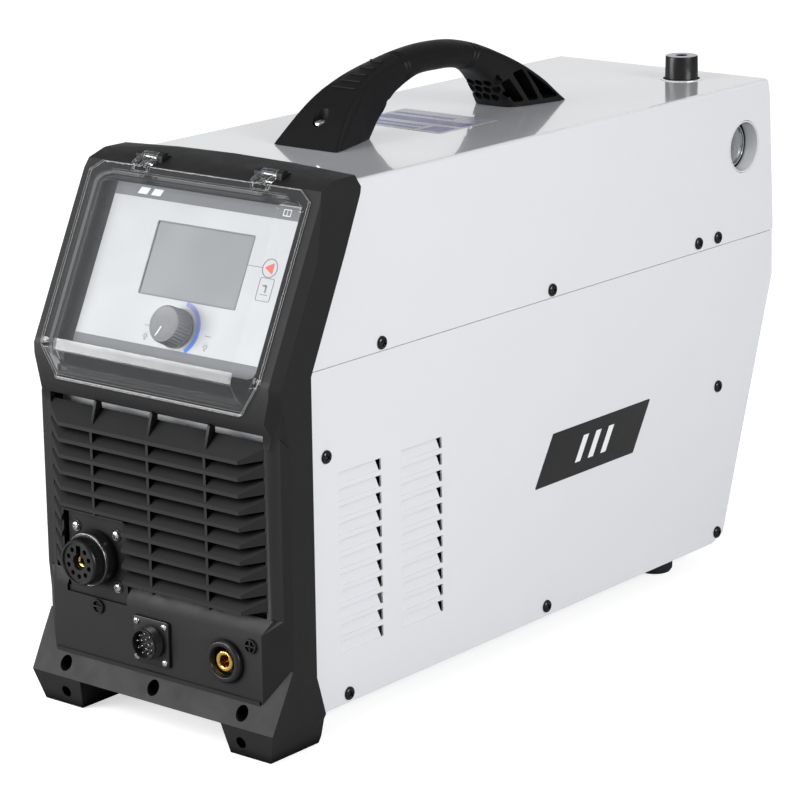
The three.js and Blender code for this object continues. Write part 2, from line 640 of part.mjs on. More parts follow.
add('torch_socket_body', torchSocketBody(), blackPlastic(), frontMount(TORCH));
add('torch_socket_contact', torchSocketContact(), copper(), frontMount(TORCH));
add('control_socket', controlSocket(), blackPlastic(), frontMount(PILOT));
add('work_socket_housing', workSocketHousing(), blackPlastic(), frontMount(WORK));
add('work_socket_insert', workSocketInsert(), brass(), frontMount(WORK));

// ---------------------------------------------------------------- sheet-steel case

const CORNER = 3; // bend radius along the cover's top edges
const COVER_FRONT_DEPTH = -27; // how far behind the slanted face the cover's front edge sits

function bentOutline(half, top, low, radius) {
  const arc = (side) => Array.from({ length: 4 }, (_, i) => {
    const angle = (i / 3) * PI / 2;
    return [side * (half - radius + radius * cos(angle)), top - radius + radius * sin(angle)];
  });
  return [[-half, low], [half, low], ...arc(1), ...arc(-1).reverse()];
}

function topCover() {
  const skin = cut(along(bentOutline(BODY_HALF, BODY_TOP, SEAM, CORNER), -80, 600),
    along(bentOutline(BODY_HALF - SHEET, BODY_TOP - SHEET, SEAM - 5, CORNER - SHEET), -90, 610));
  const sideShape = across([
    facePoint(COVER_FRONT_DEPTH, 0), facePoint(COVER_FRONT_DEPTH, 190), [REAR_TOP[0] - 3, 430],
    [REAR_TOP[0] - 3, BODY_TOP - 0.4], REAR_TOP, [REAR_SEAM[0], 279], REAR_SEAM, [REAR_SEAM[0] - 1, 262],
    [-40, 262],
  ], -BODY_HALF - 1, BODY_HALF + 1);
  const knobHole = bar('z', 15.5, 380, 420, ...REGULATOR, 20);
  const window = bar('x', 21.75, 90, 120, ...GAUGE, 24);
  const handleHoles = HANDLE_SCREWS.map((y) => bar('z', 2.6, 380, 420, 0, y, 10));
  return cut(skin.intersect(sideShape), knobHole, window, ...handleHoles);
}

const LOUVRE = { rows: 11, top: 193, pitch: 12.65, length: 48, height: 8.7, lean: 4.3, columns: [-2, 68.5] };

function louvreSlots() {
  const slots = [];
  LOUVRE.columns.forEach((y) => {
    for (let i = 0; i < LOUVRE.rows; i += 1) {
      const z = LOUVRE.top - i * LOUVRE.pitch;
      slots.push(block(BODY_HALF - SHEET - 1, BODY_HALF + 1, y, y + LOUVRE.length, z - LOUVRE.height, z));
    }
  });
  return join(...slots);
}

// Flaps hinged along their lower edge and leaning into the case.
function louvreFlaps() {
  const flaps = [];
  const thick = 0.9;
  LOUVRE.columns.forEach((y) => {
    for (let i = 0; i < LOUVRE.rows; i += 1) {
      const top = LOUVRE.top - i * LOUVRE.pitch - 0.6;
      const low = top - LOUVRE.height - 0.2;
      const section = [[BODY_HALF - 0.1, low], [BODY_HALF - LOUVRE.lean, top],
        [BODY_HALF - LOUVRE.lean - thick, top], [BODY_HALF - SHEET + 0.1, low - 0.6]];
      flaps.push(along(section, y + 0.4, y + LOUVRE.length - 2.2));
    }
  });
  return join(...flaps);
}

function sidePanel(side) {
  const joggle = BODY_HALF - SHEET - GAP;
  const section = [
    [BODY_HALF, BODY_BOTTOM], [BODY_HALF, SEAM - 0.6], [joggle, SEAM - 0.6], [joggle, SEAM + 14],
    [joggle - SHEET, SEAM + 14], [joggle - SHEET, SEAM - 8], [BODY_HALF - SHEET, SEAM - 8],
    [BODY_HALF - SHEET, BODY_BOTTOM],
  ];
  const outline = [
    [BODY_FRONT, BODY_BOTTOM], [479, BODY_BOTTOM], REAR_BOTTOM, REAR_KNEE, [REAR_SEAM[0] - 1, SEAM - 0.6],
    [REAR_SEAM[0] - 4, SEAM + 14], [-32, SEAM + 14], [BODY_FRONT, SEAM - 12],
  ];
  const sheet = along(section, BODY_FRONT, 570).intersect(across(outline, 90, 120));
  const panel = join(cut(sheet, louvreSlots()), louvreFlaps());
  return side > 0 ? panel : panel.mirror([1, 0, 0]);
}

function baseTray() {
  const half = BODY_HALF - SHEET - GAP;
  const section = [
    [-half, BODY_BOTTOM], [half, BODY_BOTTOM], [half, 40], [half - SHEET, 40],
    [half - SHEET, BODY_BOTTOM + 2], [-half + SHEET, BODY_BOTTOM + 2], [-half + SHEET, 40], [-half, 40],
  ];
  const vents = [120, 150, 180, 330, 360].map((y) => block(-50, 50, y, y + 8, 10, 30));
  const outline = [[-42, 10], [476, 10], [480, BODY_BOTTOM + 1], [490, 41], [-42, 41]];
  return cut(along(section, -42, 492).intersect(across(outline, -120, 120)), ...vents);
}

// Rear panel: a slanted lower leaf with the fan opening and an upright leaf above the knee.
const rearSlant = Math.atan2(REAR_KNEE[0] - REAR_BOTTOM[0], REAR_KNEE[1] - REAR_BOTTOM[1]);
const rearInset = 2.5;

// A point of the slanted leaf, `distance` up from its lower corner and `depth` inside the side panels' edge.
function rearPoint(distance, depth = rearInset) {
  const [lowY, lowZ] = REAR_BOTTOM;
  return [lowY + distance * sin(rearSlant) - depth * cos(rearSlant),
    lowZ + distance * cos(rearSlant) + depth * sin(rearSlant)];
}

function rearPanelProfile(depth) {
  const [kneeY, kneeZ] = REAR_KNEE;
  const knee = [kneeY - depth, kneeZ + depth * Math.tan(rearSlant / 2)];
  return [rearPoint(-2, depth), knee, [kneeY - depth, SEAM],
    [REAR_TOP[0] - depth + 1, BODY_TOP - SHEET - GAP - 4]];
}

const SWITCH = [-48, 342];
const GLAND = [-48, 282];
const INLET = [49, 318];
const EARTH = [-82, 262];
const rearFaceY = REAR_KNEE[0] - rearInset; // upright leaf, near the seam

function rearPanel() {
  const outer = rearPanelProfile(rearInset);
  const inner = rearPanelProfile(rearInset + SHEET).reverse();
  const half = BODY_HALF - 2 * SHEET - 2 * GAP;
  const leaf = across([...outer, ...inner], -half, half);
  const [fanY, fanZ] = rearPoint(FAN_UP);
  const fanHole = new THREE.CylinderGeometry(57, 57, 40, 24).rotateX(-rearSlant).translate(0, fanY, fanZ);
  const topLip = block(-half, half, REAR_TOP[0] - 20, REAR_TOP[0] - 2, BODY_TOP - SHEET - GAP - 4.6,
    BODY_TOP - SHEET - GAP - 3.1);
  return cut(join(leaf, topLip), solid(fanHole), bar('y', 9, 540, 580, ...SWITCH, 20),
    bar('y', 12.3, 540, 580, ...GLAND, 20), bar('y', 7.3, 540, 580, ...INLET, 16),
    bar('y', 3.3, 540, 580, ...EARTH, 12));
}

add('top_cover', topCover(), whitePaint());
add('side_panel_left', sidePanel(-1), whitePaint());
add('side_panel_right', sidePanel(1), whitePaint());
add('base_tray', baseTray(), finish(0x8a8d92, 0.45, 0.7));
add('rear_panel', rearPanel(), finish(0x2a2a2c, 0.5, 0.2));

// ---------------------------------------------------------------- carrying handle

const HANDLE = { front: 92.5, rear: 376, peak: 461, screws: HANDLE_SCREWS };

function carryHandle() {
  const base = BODY_TOP + GAP;
  const side = across([
    [HANDLE.front, base], [103, 412], [118, 426], [134, 436.5], [156, 447], [185, 456], [215, 460.3],
    [244, HANDLE.peak], [271, 458.5], [301, 450.5], [331, 435.5], [355, 419], [371, 404.5],
    [HANDLE.rear, base],
    [318, base], [313, 408], [302, 421], [288, 431], [270, 437], [254, 438.4], [234, 438.6],
    [214, 437.5], [197, 432.5], [180, 424.5], [164, 412], [154, base],
  ], -40, 40);
  const front = along([
    [-33.5, 396], [33.5, 396], [31, 401], [27, 412], [22.5, 426], [19, 436.5], [15.5, 447], [14, 455],
    [8, 462],
    [-8, 462], [-14, 455], [-15.5, 447], [-19, 436.5], [-22.5, 426], [-27, 412], [-31, 401],
  ], 80, 400);
  const plan = up([
    [-32, HANDLE.front - 1], [32, HANDLE.front - 1], [17, 146], [15, 175], [15, 290], [20, 318],
    [33.5, HANDLE.rear + 1], [-33.5, HANDLE.rear + 1], [-20, 318], [-15, 290], [-15, 175], [-17, 146],
  ], 390, 470);
  const screwHoles = HANDLE.screws.map((y) => join(bar('z', 3, 390, 470, 0, y, 12),
    bar('z', 6.3, 412, 470, 0, y, 16)));
  return cut(side.intersect(front).intersect(plan), ...screwHoles);
}

function handleScrew() {
  return join(turned([[0, -16], [2.3, -16], [2.3, 5], [0, 5]], 12),
    turned([[0, 4.6], [5.6, 4.6], [5.6, 9], [4.4, 10.4], [2.6, 10.4], [2.6, 7.4], [0, 7.4]], 16));
}

add('carry_handle', carryHandle(), blackPlastic());
['front', 'rear'].forEach((name, i) => {
  const screw = add(`handle_screw_${name}`, handleScrew(), steel());
  screw.position.set(0, HANDLE.screws[i], 408);
});

// ---------------------------------------------------------------- air supply: regulator, gauge and valve

const [regX, regY] = REGULATOR;
const KNOB_TOP = 419.5;
const DIAL = 10; // height of the gauge's dial over its back

function regulatorBody() {
  const head = block(regX - 20, regX + 20, regY - 20, regY + 20, 302, 342);
  const bonnet = bar('z', 17, 341, 394, regX, regY, 24);
  const ports = bar('y', 8, regY - 29, regY + 36, regX, INLET[1], 16);
  const bore = bar('z', 6.3, 352, 396, regX, regY, 16);
  const gaugePort = bar('x', 6, regX + 10, 72, GAUGE[0], GAUGE[1] - 14, 12);
  const gaugeElbow = block(69.4, 74, GAUGE[0] - 6, GAUGE[0] + 6, GAUGE[1] - 20, GAUGE[1]);
  return cut(join(head, bonnet, ports, gaugePort, gaugeElbow), bore);
}

function filterBowl() {
  return turned([[3.1, 238], [14, 238], [18.4, 243], [19, 250], [19, 296], [17, 298], [17, 301.7],
    [15, 301.7], [15, 250], [13, 242], [3.1, 241], [3.1, 238]], 16);
}

function drainButton() {
  return join(turned([[0, 229.5], [5, 229.5], [5, 235.2], [0, 235.2]], 16),
    turned([[0, 235], [2.8, 235], [2.8, 246], [0, 246]], 12));
}

function regulatorStem() {
  const thread = turned([[0, 354], [6, 354], [6, 376], [0, 376]], 16);
  const hexagon = turned([[0, 375], [4.2, 375], [4.2, 410], [0, 410]], 6);
  return join(thread, hexagon);
}

function regulatorKnob() {
  const profile = [
    [0, BODY_TOP + 0.6], [13.6, BODY_TOP + 0.6], [13.6, 402], [13.2, 418.8], [12.6, KNOB_TOP], [0, KNOB_TOP],
  ];
  const cap = turned(profile, 36);
  const socket = turned([[0, 390], [4.6, 390], [4.6, 415.5], [0, 415.5]], 6);
  const hub = bar('z', 9, 396, 402, 0, 0, 20);
  return cut(join(cap, hub), socket);
}

function gaugeBody() {
  const can = turned([[0, 0], [18, 0], [18, 21], [16.6, 21], [16.6, DIAL], [0, DIAL]], 20);
  return join(can, bar('z', 1, DIAL - 1, DIAL + 3.2, 0, 0, 8));
}

function gaugeNeedle() {
  const outline = [[-0.9, -5], [0.9, -5], [0.35, 13], [-0.35, 13]];
  const blade = solid(slabGeometry(outline, 0.6).translate(0, 0, DIAL + 1.8));
  const hub = ring(2.6, 1.3, DIAL + 1.4, DIAL + 2.9, 14);
  return cut(join(blade, hub), bar('z', 1.3, DIAL - 4, DIAL + 6, 0, 0, 14));
}

function sleeve() {
  return turned([[20.2, -12], [21.2, -12], [21.2, 0.4], [20.2, 0.4], [20.2, -12]], 24);
}

const onRegulator = (name, body, material) => {
  const mesh = add(name, body, material);
  mesh.position.set(regX, regY, 0);
};
add('regulator_body', regulatorBody(), aluminium());
onRegulator('filter_bowl', filterBowl(), clearPlastic());
onRegulator('bowl_drain_button', drainButton(), blackPlastic());
onRegulator('regulator_stem', regulatorStem(), brass());
onRegulator('regulator_knob', regulatorKnob(), blackPlastic());
onRegulator('knob_trim_ring', ring(17.6, 15.2, BODY_TOP + GAP, BODY_TOP + 0.9, 24), whitePaint());

const gauge = new THREE.Group();
gauge.position.set(74.4, GAUGE[0], GAUGE[1]);
gauge.quaternion.setFromRotationMatrix(SIDE_VIEW);
machine.add(gauge);
add('gauge_body', gaugeBody(), steel(), gauge);
const needle = add('gauge_needle', gaugeNeedle(), finish(0x111111, 0.5, 0), gauge);
needle.rotation.z = radians(135); // rests at zero, at the lower left of the dial
add('gauge_lens', turned([[0, 19.2], [16.3, 19.2], [16.3, 20.6], [0, 20.6]], 20), clearPlastic(), gauge);
const windowSleeve = add('gauge_window_sleeve', sleeve(), whitePaint(), gauge);
windowSleeve.position.set(0, 0, BODY_HALF - 74.4);

function airInlet() {
  const [x, z] = INLET;
  const hexNut = slabGeometry(onCircle(6, 11), 8).applyMatrix4(FRONT_VIEW).translate(x, 574, z);
  const body = bar('y', 7, regY + 37, 575, x, z, 16);
  const barb = bar('y', 5, 574, 592, x, z, 14);
  const bore = bar('y', 3, regY + 30, 600, x, z, 12);
  return cut(join(body, solid(hexNut), barb), bore);
}

function solenoidValve() {
  const manifold = block(30, 62, 442, 470, INLET[1] - 14, INLET[1] + 14);
  const coil = block(32, 60, 443, 469, INLET[1] + 13.5, INLET[1] + 46);
  const port = bar('y', 8, 469, regY - 29.4, regX, INLET[1], 16);
  const hose = bar('y', 5, 424, 443, regX, INLET[1], 14);
  const core = bar('z', 4.6, INLET[1] + 20, INLET[1] + 50, 46, 456, 14);
  return cut(join(manifold, coil, port, hose), core);
}

function valvePlunger() {
  return bar('z', 4.2, INLET[1] + 21, INLET[1] + 41, 46, 456, 14);
}

// Hose from the valve forward to the torch socket.
function airHose() {
  const path = new THREE.CatmullRomCurve3([
    [regX, 423, INLET[1]], [regX, 380, INLET[1]], [86, 300, 306], [92, 150, 280],
    [70, 40, 215], [10, -10, 175], [-50, -20, 160],
  ].map((p) => new THREE.Vector3(...p)));
  const section = outlineShape(onCircle(7, 4.5));
  return solid(new THREE.ExtrudeGeometry(section, { steps: 16, extrudePath: path }));
}

add('air_inlet_fitting', airInlet(), brass());
add('solenoid_valve', solenoidValve(), blackPlastic());
add('valve_plunger', valvePlunger(), steel());
add('air_hose', airHose(), finish(0x1d3f8f, 0.5, 0));

// ---------------------------------------------------------------- cooling fan on the slanted rear

const [fanY, fanZ] = rearPoint(FAN_UP);
const fan = mountedGroup(0, fanY, fanZ, -90 - THREE.MathUtils.radToDeg(rearSlant));

function fanFrame() {
  const half = FAN_SIZE / 2;
  const floor = -FAN_DEPTH - SHEET - GAP;
  const frame = solid(slabGeometry(roundedOutline(half, half, 6, 2), FAN_DEPTH - GAP).translate(0, 0, floor));
  const duct = bar('z', 56.5, floor - 5, 5, 0, 0, 24);
  const struts = [0, 1, 2].map((i) => {
    const strut = new THREE.BoxGeometry(45, 6, 3).translate(40, 0, floor + 1.5).rotateZ((i / 3) * 2 * PI);
    return solid(strut);
  });
  const motor = bar('z', 21, floor, floor + 4, 0, 0, 16);
  const axle = bar('z', 2.5, floor + 3, floor + 14, 0, 0, 10);
  return join(cut(frame, duct), motor, axle, ...struts);
}

function fanRotor() {
  const floor = -FAN_DEPTH - SHEET - GAP + 5;
  const hub = turned([[2.9, floor], [20.5, floor], [20.5, floor + 27], [17, floor + 29], [0, floor + 29],
    [0, floor + 15], [2.9, floor + 15], [2.9, floor]], 16);
  const blades = Array.from({ length: 7 }, (_, i) => {
    const blade = new THREE.BoxGeometry(34, 1.8, 30).translate(36, 0, 0);
    return solid(blade.rotateX(0.85).rotateZ((i / 7) * 2 * PI).translate(0, 0, floor + 14.5));
  });
  return join(hub, ...blades);
}

function fanGuard() {
  const wire = 2.2;
  const rings = [20, 32, 44, 56].map((r) => ring(r + wire / 2, r - wire / 2, 1.6, 1.6 + wire, 20));
  const spokes = [0, 1].map((i) => {
    const spoke = new THREE.BoxGeometry(142, wire, wire).translate(0, 0, wire / 2 + 0.4);
    return solid(spoke.rotateZ(PI / 4 + i * PI / 2));
  });
  return join(...rings, ...spokes);
}

add('fan_frame', fanFrame(), blackPlastic(), fan);
add('fan_rotor', fanRotor(), blackPlastic(), fan);
add('fan_guard', fanGuard(), steel(), fan);

// ---------------------------------------------------------------- rear connections

function switchBody() {
  const body = block(-22, 22, -22, 22, -46, -5);
  const neck = bar('z', 8.6, -12, 0.6, 0, 0, 20);
  return cut(join(body, neck), bar('z', 3.4, -30, 5, 0, 0, 14));
}

function switchPlate() {
  const plate = solid(slabGeometry(roundedOutline(30, 30, 4, 2), 2).translate(0, 0, 1));
  return cut(plate, bar('z', 9.2, 0, 5, 0, 0, 20));
}

function switchKnob() {
  const disc = turned([[0, 3.4], [19, 3.4], [19, 8], [17, 9.4], [0, 9.4]], 20);
  const grip = solid(slabGeometry(roundedOutline(5, 19, 3, 2), 15).translate(0, 0, 8.5));
  const shaft = bar('z', 3, -26, 4, 0, 0, 14);
  return join(disc, grip, shaft);
}

function cableGland() {
  const thread = turned([[7.6, -12], [12, -12], [12, 0.6], [7.6, 0.6], [7.6, -12]], 14);
  const collar = solid(slabGeometry(onCircle(6, 17), 8).translate(0, 0, 0.6));
  const nut = turned([[7.6, 8], [14.4, 8], [14.4, 18], [10, 23], [7.6, 23], [7.6, 8]], 14);
  return cut(join(thread, collar, nut), bar('z', 7.6, -20, 30, 0, 0, 14));
}

// Mains cable: enters through the gland, and hangs down outside to a cut end.
function powerCable() {
  const path = new THREE.CatmullRomCurve3([
    [0, 0, -40], [0, 0, -15], [0, 0, 10], [0, 0, 26], [0, 7, 42], [0, 28, 51], [0, 60, 52],
  ].map((p) => new THREE.Vector3(...p)));
  return solid(new THREE.ExtrudeGeometry(outlineShape(onCircle(10, 6.9)), { steps: 14, extrudePath: path }));
}

function earthBolt() {
  const head = solid(slabGeometry(onCircle(6, 7.2), 4.6).translate(0, 0, 2.2));
  const washer = bar('z', 8, 0.7, 2.3, 0, 0, 16);
  return join(head, washer, bar('z', 2.9, -14, 1, 0, 0, 12));
}

const rearMount = ([x, z]) => mountedGroup(x, rearFaceY, z, -90);
const switchPlace = mountedGroup(SWITCH[0], rearFaceY - 2, SWITCH[1], -87);
add('mains_switch_body', switchBody(), blackPlastic(), switchPlace);
add('mains_switch_plate', switchPlate(), finish(0xb9bcc0, 0.35, 0.6), switchPlace);
add('mains_switch_knob', switchKnob(), blackPlastic(), switchPlace);
add('cable_gland', cableGland(), blackPlastic(), rearMount(GLAND));
add('power_cable', powerCable(), finish(0x1b1b1c, 0.6, 0), rearMount(GLAND));
add('earth_bolt', earthBolt(), steel(), rearMount(EARTH));

// ---------------------------------------------------------------- power electronics inside the case

function heatsink() {
  const fins = 14;
  const width = 170;
  const pitch = width / fins;
  const floor = BODY_BOTTOM + 2 + GAP;
  const comb = [[-width / 2, 86], [width / 2, 86]];
  for (let i = 0; i < fins; i += 1) {
    const x = width / 2 - i * pitch;
    comb.push([x, floor], [x - 3, floor]);
    if (i < fins - 1) comb.push([x - 3, 78], [x - pitch, 78]);
  }
  comb.push([-width / 2, floor]);
  const outline = comb.filter(([x, z], i) => i === 0 || x !== comb[i - 1][0] || z !== comb[i - 1][1]);
  return along(outline, 60, 330);
}

function mainBoard() {
  const board = block(-92, 92, 40, 340, 104, 106);
  const devices = [80, 120, 160, 200, 240, 280].map((y) => block(-70, 70, y, y + 16, 87, 104.2));
  return join(board, ...devices);
}

function capacitor(x, y) {
  const can = turned([[0, 106.4], [17, 106.4], [17.6, 108], [17.6, 160], [16.6, 162], [0, 162]], 16);
  return can.translate([x, y, 0]);
}

function coilBlock(x0, x1, y0, y1, z0, z1, coreInset) {
  const core = block(x0, x1, y0 + coreInset, y1 - coreInset, z0, z1);
  const winding = block(x0 + coreInset, x1 - coreInset, y0, y1, z0 + coreInset, z1 - coreInset);
  return join(core, winding);
}

add('heatsink', heatsink(), aluminium());
add('main_board', mainBoard(), circuitGreen());
add('bus_capacitor_left', capacitor(-60, 90), finish(0x23344d, 0.4, 0.1));
add('bus_capacitor_right', capacitor(-18, 90), finish(0x23344d, 0.4, 0.1));
add('power_transformer', coilBlock(-80, -10, 180, 260, 106.4, 176, 10), finish(0x3a3a3d, 0.6, 0.2));
add('output_inductor', coilBlock(10, 80, 190, 260, 106.4, 160, 9), copper());

// ---------------------------------------------------------------- rear feet

const REAR_FOOT = { x: 77, y: 438, radius: 15 };

function rearFoot() {
  return turned([[0, 6], [4, 6], [4, 0], [13.2, 0], [REAR_FOOT.radius, 3], [REAR_FOOT.radius, 15],
    [14, BODY_BOTTOM - GAP], [0, BODY_BOTTOM - GAP]], 20);
}

[['left', -1], ['right', 1]].forEach(([name, side]) => {
  const foot = add(`rear_foot_${name}`, rearFoot(), finish(0x141415, 0.8, 0));
  foot.position.set(side * REAR_FOOT.x, REAR_FOOT.y, 0);
});

// The origin sits on the floor under the middle of the machine's box.
const unit = new THREE.Group();
unit.add(machine);
const bounds = new THREE.Box3().setFromObject(unit, true);
machine.position.y = -(bounds.min.y + bounds.max.y) / 2;
machine.position.x = -(bounds.min.x + bounds.max.x) / 2;

export default unit;
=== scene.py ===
"""Looks of the plasma cutter unit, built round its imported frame.

Lengths inside each piece are in millimetres, in a local frame that stands on the part it belongs to;
a place matrix turns them into metres in the frame's own axes.
"""
import json
import math
from random import Random

import bmesh
import bpy
from mathutils import Matrix, Vector


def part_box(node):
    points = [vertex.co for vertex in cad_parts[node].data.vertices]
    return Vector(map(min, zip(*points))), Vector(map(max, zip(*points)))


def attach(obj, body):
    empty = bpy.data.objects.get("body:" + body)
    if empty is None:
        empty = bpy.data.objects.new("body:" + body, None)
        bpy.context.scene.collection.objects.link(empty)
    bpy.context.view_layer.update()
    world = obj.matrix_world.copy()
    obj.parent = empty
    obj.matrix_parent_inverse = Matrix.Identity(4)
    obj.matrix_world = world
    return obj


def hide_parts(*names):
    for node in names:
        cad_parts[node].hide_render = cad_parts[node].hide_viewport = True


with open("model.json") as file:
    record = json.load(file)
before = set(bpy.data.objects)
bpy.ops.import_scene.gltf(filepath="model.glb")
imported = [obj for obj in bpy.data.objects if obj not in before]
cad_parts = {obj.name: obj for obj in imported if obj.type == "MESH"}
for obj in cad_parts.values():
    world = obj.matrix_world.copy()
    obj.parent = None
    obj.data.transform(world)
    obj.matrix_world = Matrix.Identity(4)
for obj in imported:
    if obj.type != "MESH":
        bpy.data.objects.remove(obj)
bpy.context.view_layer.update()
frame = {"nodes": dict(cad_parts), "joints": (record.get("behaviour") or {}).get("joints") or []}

MM = 0.001
NODES = frame["nodes"]
JOINTS = {joint["name"]: joint for joint in frame["joints"]}

X = Vector((1, 0, 0))
Y = Vector((0, 1, 0))
Z = Vector((0, 0, 1))


# ------------------------------------------------------------------ places

def place(origin, x_axis, z_axis):
    """Matrix from a local frame in millimetres to the unit's frame in metres."""
    y_axis = z_axis.cross(x_axis)
    turn = Matrix((x_axis, y_axis, z_axis)).transposed().to_4x4()
    return Matrix.Translation(origin) @ turn @ Matrix.Scale(MM, 4)


def middle(node):
    low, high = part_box(node)
    return (low + high) / 2


BEZEL_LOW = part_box("front_bezel")[0]
PANEL_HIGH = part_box("side_panel_right")[1]
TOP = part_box("top_cover")[1].z

# The design's own zero along y lies behind the bezel's foremost edge and behind the connector panel.
BEZEL_AHEAD = 91.4
CONNECTOR_AHEAD = 82.0
DESIGN_ZERO = BEZEL_LOW.y + BEZEL_AHEAD * MM
CONNECTOR_FACE = DESIGN_ZERO - CONNECTOR_AHEAD * MM


def design(x, y, z):
    """A point given in millimetres from the design's zero, in metres."""
    return Vector((x * MM, DESIGN_ZERO + y * MM, z * MM))


WORLD = place(design(0, 0, 0), X, Z)

# Local frame of the slanted control face: x across, y up the face, z out of it.
KNOB_JOINT = JOINTS["control_knob_turn"]
FACE_NORMAL = Vector(KNOB_JOINT["axis"]).normalized()
KNOB_ON_FACE = (7.0, 28.5)
FACE_UP = FACE_NORMAL.cross(X)
FACE_ORIGIN = (Vector(KNOB_JOINT["pos_m"]) - X * KNOB_ON_FACE[0] * MM - FACE_UP * KNOB_ON_FACE[1] * MM)
FACE = place(FACE_ORIGIN, X, FACE_NORMAL)
KNOB = place(Vector(KNOB_JOINT["pos_m"]), X, FACE_NORMAL)
PANEL_H = -12.3  # printed control panel, below the slanted face

FAN_JOINT = JOINTS["fan_spin"]
FAN_NORMAL = Vector(FAN_JOINT["axis"]).normalized()
FAN = place(Vector(FAN_JOINT["pos_m"]), X, FAN_NORMAL)

SWITCH_JOINT = JOINTS["mains_switch_turn"]
SWITCH = place(Vector(SWITCH_JOINT["pos_m"]), X, -Vector(SWITCH_JOINT["axis"]).normalized())


def on_front(node):
    """Frame on the connector panel at a node's middle: x right, y up, z out of the front."""
    centre = middle(node)
    return place(Vector((centre.x, CONNECTOR_FACE, centre.z)), X, -Y)


# ------------------------------------------------------------------ shapes as (points, faces)

def merged(*shapes):
    points, faces = [], []
    for shape_points, shape_faces in shapes:
        start = len(points)
        points += [tuple(p) for p in shape_points]
        faces += [tuple(i + start for i in face) for face in shape_faces]
    return points, faces


def moved(shape, matrix):
    points, faces = shape
    return [tuple(matrix @ Vector(p)) for p in points], faces


def shifted(shape, x=0.0, y=0.0, z=0.0):
    return moved(shape, Matrix.Translation((x, y, z)))


def turned_about_z(shape, angle):
    return moved(shape, Matrix.Rotation(angle, 4, "Z"))


def circle(radius, count=48, start=0.0, cx=0.0, cy=0.0):
    step = 2 * math.pi / count
    return [(cx + radius * math.cos(start + i * step), cy + radius * math.sin(start + i * step))
            for i in range(count)]


def rounded_box(half_x, half_y, radius, steps=6, cx=0.0, cy=0.0):
    points = []
    for quarter, (sx, sy) in enumerate(((1, 1), (-1, 1), (-1, -1), (1, -1))):
        for i in range(steps + 1):
            angle = (quarter + i / steps) * math.pi / 2
            points.append((cx + sx * (half_x - radius) + radius * math.cos(angle),
                           cy + sy * (half_y - radius) + radius * math.sin(angle)))
    return points


def fillet(points, radius, steps=4, closed=False):
    """Rounds the corners of a polyline; radius is one number or a list with one per point."""
    count = len(points)
    radii = radius if isinstance(radius, (list, tuple)) else [radius] * count
    result = []
    for i, point in enumerate(points):
        corner = Vector(point)
        if (not closed and i in (0, count - 1)) or radii[i] <= 0:
            result.append(tuple(corner))
            continue
        before = Vector(points[i - 1]) - corner
        after = Vector(points[(i + 1) % count]) - corner
        angle = before.angle(after)
        if angle > math.radians(176):
            result.append(tuple(corner))
            continue
        reach = min(radii[i] / math.tan(angle / 2), 0.48 * before.length, 0.48 * after.length)
        a = corner + before.normalized() * reach
        b = corner + after.normalized() * reach
        for k in range(steps + 1):
            t = k / steps
            result.append(tuple(a * (1 - t) ** 2 + corner * (2 * t * (1 - t)) + b * t * t))
    return result


def lathe(profile, segments=72, closed=False):
    """Turns a (radius, height) profile about z. Points on the axis become single poles."""
    points, faces, rows = [], [], []
    for radius, height in profile:
        if radius < 1e-6:
            rows.append([len(points)] * segments)
            points.append((0.0, 0.0, height))
        else:
            rows.append(list(range(len(points), len(points) + segments)))
            points += [(x, y, height) for x, y in circle(radius, segments)]
    pairs = list(zip(rows, rows[1:] + rows[:1])) if closed else list(zip(rows, rows[1:]))
    for low, high in pairs:
        for i in range(segments):
            j = (i + 1) % segments
            face = []
            for index in (low[i], low[j], high[j], high[i]):
                if index not in face:
                    face.append(index)
            if len(face) > 2:
                faces.append(tuple(face))
    return points, faces


def offset(outline, distance):
    """Moves a counter-clockwise outline outwards by distance, along each corner's mitre."""
    count = len(outline)
    result = []
    for i, (px, py) in enumerate(outline):
        ax, ay = outline[i - 1]
        bx, by = outline[(i + 1) % count]
        first = Vector((px - ax, py - ay)).normalized()
        second = Vector((bx - px, by - py)).normalized()
        normal = Vector((first.y + second.y, -first.x - second.x))
        if normal.length < 1e-6:
            normal = Vector((first.y, -first.x))
        normal.normalize()
        scale = distance / max(0.35, normal.dot(Vector((first.y, -first.x))))
        result.append((px + normal.x * scale, py + normal.y * scale))
    return result


def layers(outlines_and_heights):
    """Skins a stack of outlines that have equal point counts, and closes it at both ends."""
    points, faces = [], []
    count = len(outlines_and_heights[0][0])
    for outline, height in outlines_and_heights:
        points += [(x, y, height) for x, y in outline]
    for row in range(len(outlines_and_heights) - 1):
        for i in range(count):
            j = (i + 1) % count
            low, high = row * count, (row + 1) * count
            faces.append((low + i, low + j, high + j, high + i))
    faces.append(tuple(range(count - 1, -1, -1)))
    start = (len(outlines_and_heights) - 1) * count
    faces.append(tuple(range(start, start + count)))
    return points, faces


def slab(outline, low, high, edge=0.0, low_edge=0.0, steps=3):
    """A plate with its upper and lower edges rounded by the given radii."""
    stack = []
    if low_edge > 0:
        for i in range(steps + 1):
            angle = (i / steps) * math.pi / 2
            rim = offset(outline, -low_edge * (1 - math.sin(angle)))
            stack.append((rim, low + low_edge * (1 - math.cos(angle))))
    else:
        stack.append((outline, low))
    if edge > 0:
        for i in range(steps + 1):
            angle = (i / steps) * math.pi / 2
            rim = offset(outline, -edge * (1 - math.cos(angle)))
            stack.append((rim, high - edge * (1 - math.sin(angle))))
    else:
        stack.append((outline, high))
    return layers(stack)


